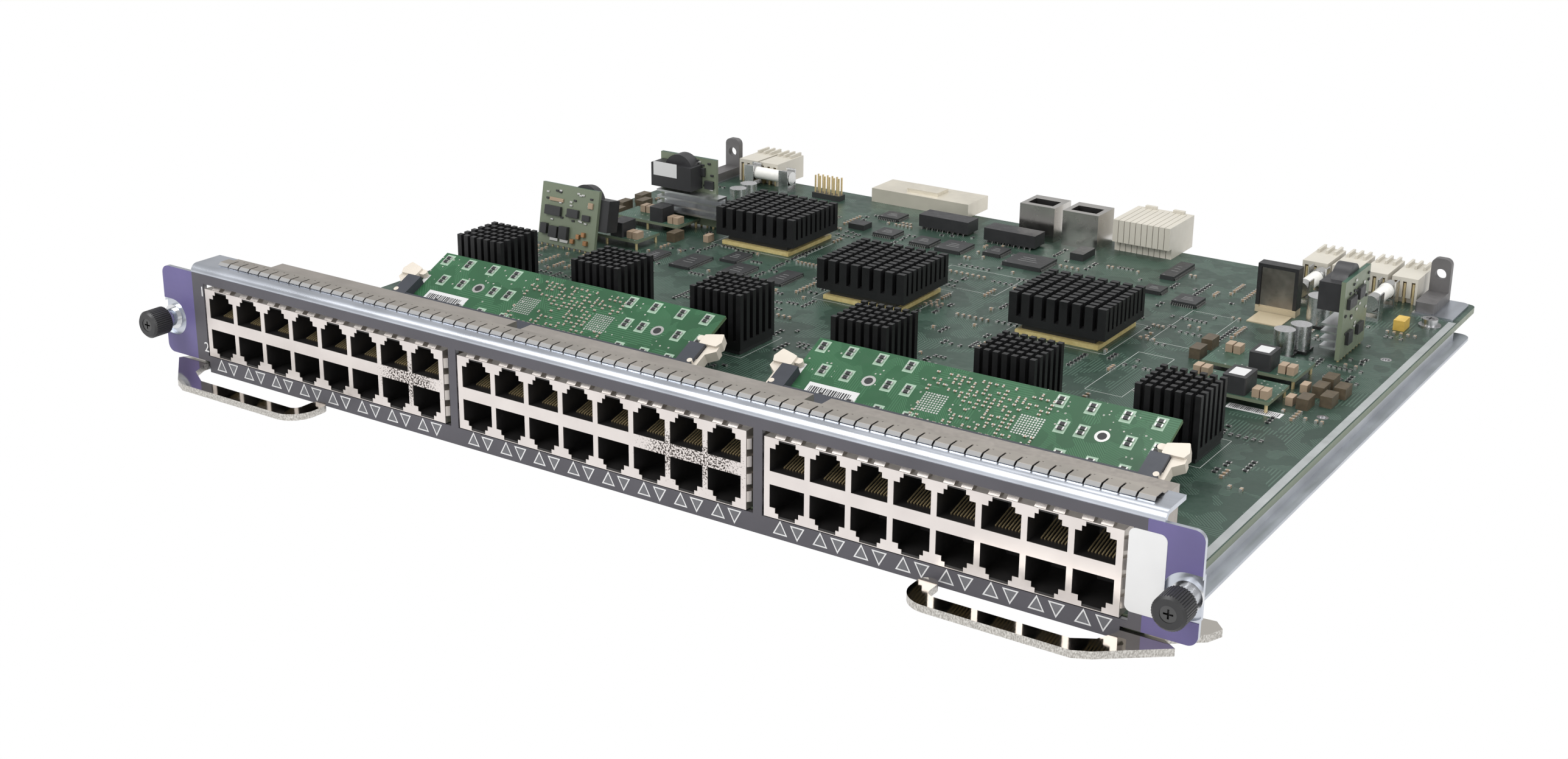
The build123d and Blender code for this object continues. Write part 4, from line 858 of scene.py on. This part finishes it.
# Tantalum blocks and ceramic capacitors
# Moulded tantalum blocks, brown ones beside the converters and a yellow one near the rear,
# and fired ceramic blocks with a dull sandy skin.
yellow_from = 270.0
tantalum, tree, shader = start_finish("tantalum_moulding")
rear = maths(tree, "GREATER_THAN", split_axes(tree, in_millimetres(tree))[1], face_mm + yellow_from)
soft = patches(tree, 0.4)
brown = mixed(tree, soft, (0.070, 0.054, 0.034), (0.105, 0.080, 0.050))
yellow = mixed(tree, soft, (0.55, 0.36, 0.07), (0.66, 0.45, 0.10))
feed(tree, shader, {"Base Color": mixed(tree, rear, brown, yellow),
                    "Roughness": patches(tree, 0.8, 0.36, 0.50)})
raised(tree, shader, mottle(tree, 3.0, 4.0), 0.006)
dress("tantalum_blocks", tantalum)
dress("ceramic_capacitors", surface_finish("fired_ceramic", (0.36, 0.27, 0.19), 0.46, 0.0, 0.12, 3.0,
                                           0.004))

# Electrolytic cans
# Cans drawn from aluminium sheet, on square black moulded bases that stand on the board. Their
# sides are bright, with faint lines along them.
can_base = 1.22
can_finish, tree, shader = start_finish("can_aluminium")
base_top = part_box("main_board")[1].z / MM + can_base
base = maths(tree, "LESS_THAN", split_axes(tree, in_millimetres(tree))[2], base_top)
feed(tree, shader, {"Base Color": mixed(tree, base, (0.74, 0.74, 0.75), (0.02, 0.02, 0.02)),
                    "Metallic": maths(tree, "SUBTRACT", 1.0, base),
                    "Roughness": patches(tree, 0.6, 0.20, 0.34)})
raised(tree, shader, mottle(tree, 0.8, 1.0, (1.0, 1.0, 0.1)), 0.0015)
dress("electrolytic_cans", can_finish)

# Labels on the card
# Bare white paper labels on two inductors and a transformer, and one on the board with plain
# bars that follow no code.
inductor_top, inductor_label_top = 17.0, 17.08
paper_thickness, ink_thickness = 0.1, 0.03
labels = [slab("part_label", (141.4, 166.6, inductor_top), (147.0, 173.8, inductor_label_top)),
          slab("part_label", (140.6, 193.4, inductor_top), (145.8, 199.8, inductor_label_top)),
          slab("part_label", (-149.6, 227.3, 29.2), (-137.0, 227.4, 35.4)),
          slab("part_label", (142.7, 161.9, board_top), (162.0, 166.6, board_top + paper_thickness))]
on_card(paint(joined("part_labels", labels), label_paper))
bar_count, bar_pitch = 26, 0.68
bars = []
for i in range(bar_count):
    x = 143.6 + i * bar_pitch
    wide = dice.choice((0.22, 0.36))
    bars.append(slab("board_label_bar", (x, 162.6, board_top + paper_thickness),
                     (x + wide, 165.9, board_top + paper_thickness + ink_thickness)))
on_card(paint(joined("board_label_bars", bars), resistor_black))

# Choke
# An upright core in a black frame with a steel face, on a tan insulating sheet that comes up
# round its foot.
choke_steel, tree, shader = start_finish("choke_steel")
x_mm, y_mm, z_mm = split_axes(tree, in_millimetres(tree))
steel_x, steel_top, sheet_top = (115.4, 128.4), 24.4, 9.2
inner = maths(tree, "MULTIPLY", between(tree, x_mm, *steel_x, 0.05),
              maths(tree, "LESS_THAN", z_mm, steel_top))
steel = mixed(tree, patches(tree, 0.15), (0.20, 0.18, 0.16), (0.32, 0.30, 0.27))
low = maths(tree, "LESS_THAN", z_mm, sheet_top)
tint = mixed(tree, inner, (0.018, 0.018, 0.019), steel)
feed(tree, shader, {"Base Color": mixed(tree, low, tint, (0.52, 0.44, 0.30)),
                    "Metallic": maths(tree, "MULTIPLY", inner, maths(tree, "SUBTRACT", 1.0, low)),
                    "Roughness": patches(tree, 0.5, 0.28, 0.44, 4.0)})
raised(tree, shader, mottle(tree, 2.0, 3.0), 0.008)
dress("choke", choke_steel)

# Fuses and clips
# Glazed ceramic tubes with a nickel plated cap at each end, pushed into sprung metal clips.
# The left fuse lies across the card and the right ones along it.
fuse, tree, shader = start_finish("capped_fuse")
x_mm, y_mm, z_mm = split_axes(tree, in_millimetres(tree))
rear_mm = maths(tree, "SUBTRACT", y_mm, face_mm)
left_tube = maths(tree, "MULTIPLY", maths(tree, "LESS_THAN", x_mm, 0.0),
                  between(tree, x_mm, -149.0, -135.0, 0.05))
right_tube = maths(tree, "MULTIPLY", maths(tree, "GREATER_THAN", x_mm, 0.0),
                   between(tree, rear_mm, 287.0, 300.5, 0.05))
tube = maths(tree, "MAXIMUM", left_tube, right_tube)
ceramic = mixed(tree, patches(tree, 0.2), (0.76, 0.75, 0.71), (0.84, 0.83, 0.79))
feed(tree, shader, {"Base Color": mixed(tree, tube, (0.66, 0.66, 0.65), ceramic),
                    "Metallic": maths(tree, "SUBTRACT", 1.0, tube),
                    "Roughness": patches(tree, 0.8, 0.18, 0.30, 4.0)})
raised(tree, shader, mottle(tree, 2.0), 0.002)
dress("fuses", fuse)
dress("fuse_clips", surface_finish("spring_clip", (0.66, 0.66, 0.66), 0.26, 1.0, 0.08, 3.0, 0.004))

# Rear connectors
# A shielded connector, two upright jacks, a wafer connector and the power connectors stand
# along the rear edge, in warm beige plastic and nickel plated sheet.
beige = surface_finish("warm_beige_moulding", (0.56, 0.53, 0.46), 0.40, 0.0, 0.05, 1.5, 0.008)
dress("wafer_connector", beige)
dress("power_connectors", beige)
dress("rear_connector_shell", surface_finish("rear_shell", (0.66, 0.62, 0.53), 0.40, 0.5, 0.06, 2.0,
                                             0.006))
dress("rear_connector_insert", chip_black)
dress("rear_jack_shields", surface_finish("rear_jack_sheet", (0.60, 0.58, 0.55), 0.24, 1.0, 0.1, 2.0,
                                          0.0015))
dress("rear_jack_housings", jack_black)
dress("pin_header", chip_black)
dress("connector_pins", gold)

# Corner plates and guide ears
# Zinc plated steel plates on the rear corners, with guide ears screwed on them. The ears are
# die cast and left as cast, each with a round hole through it.
dress("corner_plates", zinc)
dress("guide_ears", surface_finish("as_cast_metal", (0.165, 0.16, 0.16), 0.50, 0.55, 0.15, 1.6, 0.03))

# Floor, light and camera
# A plain pale floor that reads as white to the camera and in reflections, a soft white room,
# four soft lamps and the photograph's view.
floor_size = 3.0
deselect()
bpy.ops.mesh.primitive_plane_add(size=floor_size, location=(0.0, 0.0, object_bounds()[0].z))
floor = bpy.context.active_object
floor.name = "floor"
pale, tree, shader = start_finish("pale_floor")
feed(tree, shader, {"Base Color": (0.80, 0.80, 0.80, 1.0), "Roughness": 0.9})
rays = add_node(tree, "ShaderNodeLightPath")
seen = maths(tree, "MAXIMUM", rays.outputs["Is Camera Ray"], rays.outputs["Is Glossy Ray"])
white = add_node(tree, "ShaderNodeEmission", {"Color": (1.0, 1.0, 1.0, 1.0), "Strength": 1.0})
shown = {0: seen, 1: shader.outputs[0], 2: white.outputs[0]}
blend = add_node(tree, "ShaderNodeMixShader", shown)
feed(tree, tree.nodes["Material Output"], {"Surface": blend.outputs[0]})
paint(floor, pale)
world = bpy.data.worlds.new("soft_room")
bpy.context.scene.world = world
world.use_nodes = True
tree = world.node_tree
seen = add_node(tree, "ShaderNodeLightPath").outputs["Is Camera Ray"]
feed(tree, tree.nodes["Background"], {"Color": (1.0, 1.0, 1.0, 1.0),
                                      "Strength": spread(tree, seen, 0.0, 1.0, 0.55, 1.0)})


def lamp(name, spot, target, size, power):
    """A square soft lamp that points at a target."""
    deselect()
    bpy.ops.object.light_add(type="AREA", location=spot)
    light = bpy.context.active_object
    light.name = name
    light.data.size = size
    light.data.energy = power
    light.rotation_euler = (Vector(target) - Vector(spot)).to_track_quat("-Z", "Y").to_euler()


lamp("key_lamp", (-0.6, -1.1, 1.2), (0.0, -0.05, 0.0), 0.9, 16.0)
lamp("top_lamp", (0.2, 0.5, 1.5), (0.0, 0.0, 0.0), 1.2, 14.0)
lamp("front_lamp", (0.35, -1.5, 0.3), (0.0, -0.18, 0.02), 0.5, 5.0)
lamp("side_lamp", (1.4, -0.3, 0.8), (0.1, 0.0, 0.0), 0.8, 7.0)

azimuth = math.radians(33.41)
elevation = math.radians(17.96)
roll = math.radians(0.54)
back = Vector((math.sin(azimuth) * math.cos(elevation), -math.cos(azimuth) * math.cos(elevation),
               math.sin(elevation)))
camera_spot = (361.5, -442.4, 250.8)
right = (-back).cross(Vector((0, 0, 1))).normalized()
up = right.cross(-back)
right_rolled = math.cos(roll) * right + math.sin(roll) * up
up_rolled = math.cos(roll) * up - math.sin(roll) * right
deselect()
bpy.ops.object.camera_add()
camera = bpy.context.active_object
camera.data.lens = 45.26
camera.data.shift_y = -0.06
turn = Matrix((right_rolled, up_rolled, back)).transposed()
camera.matrix_world = Matrix.Translation(place(*camera_spot)) @ turn.to_4x4()
bpy.context.scene.camera = camera
bpy.context.scene.view_settings.view_transform = "Standard"
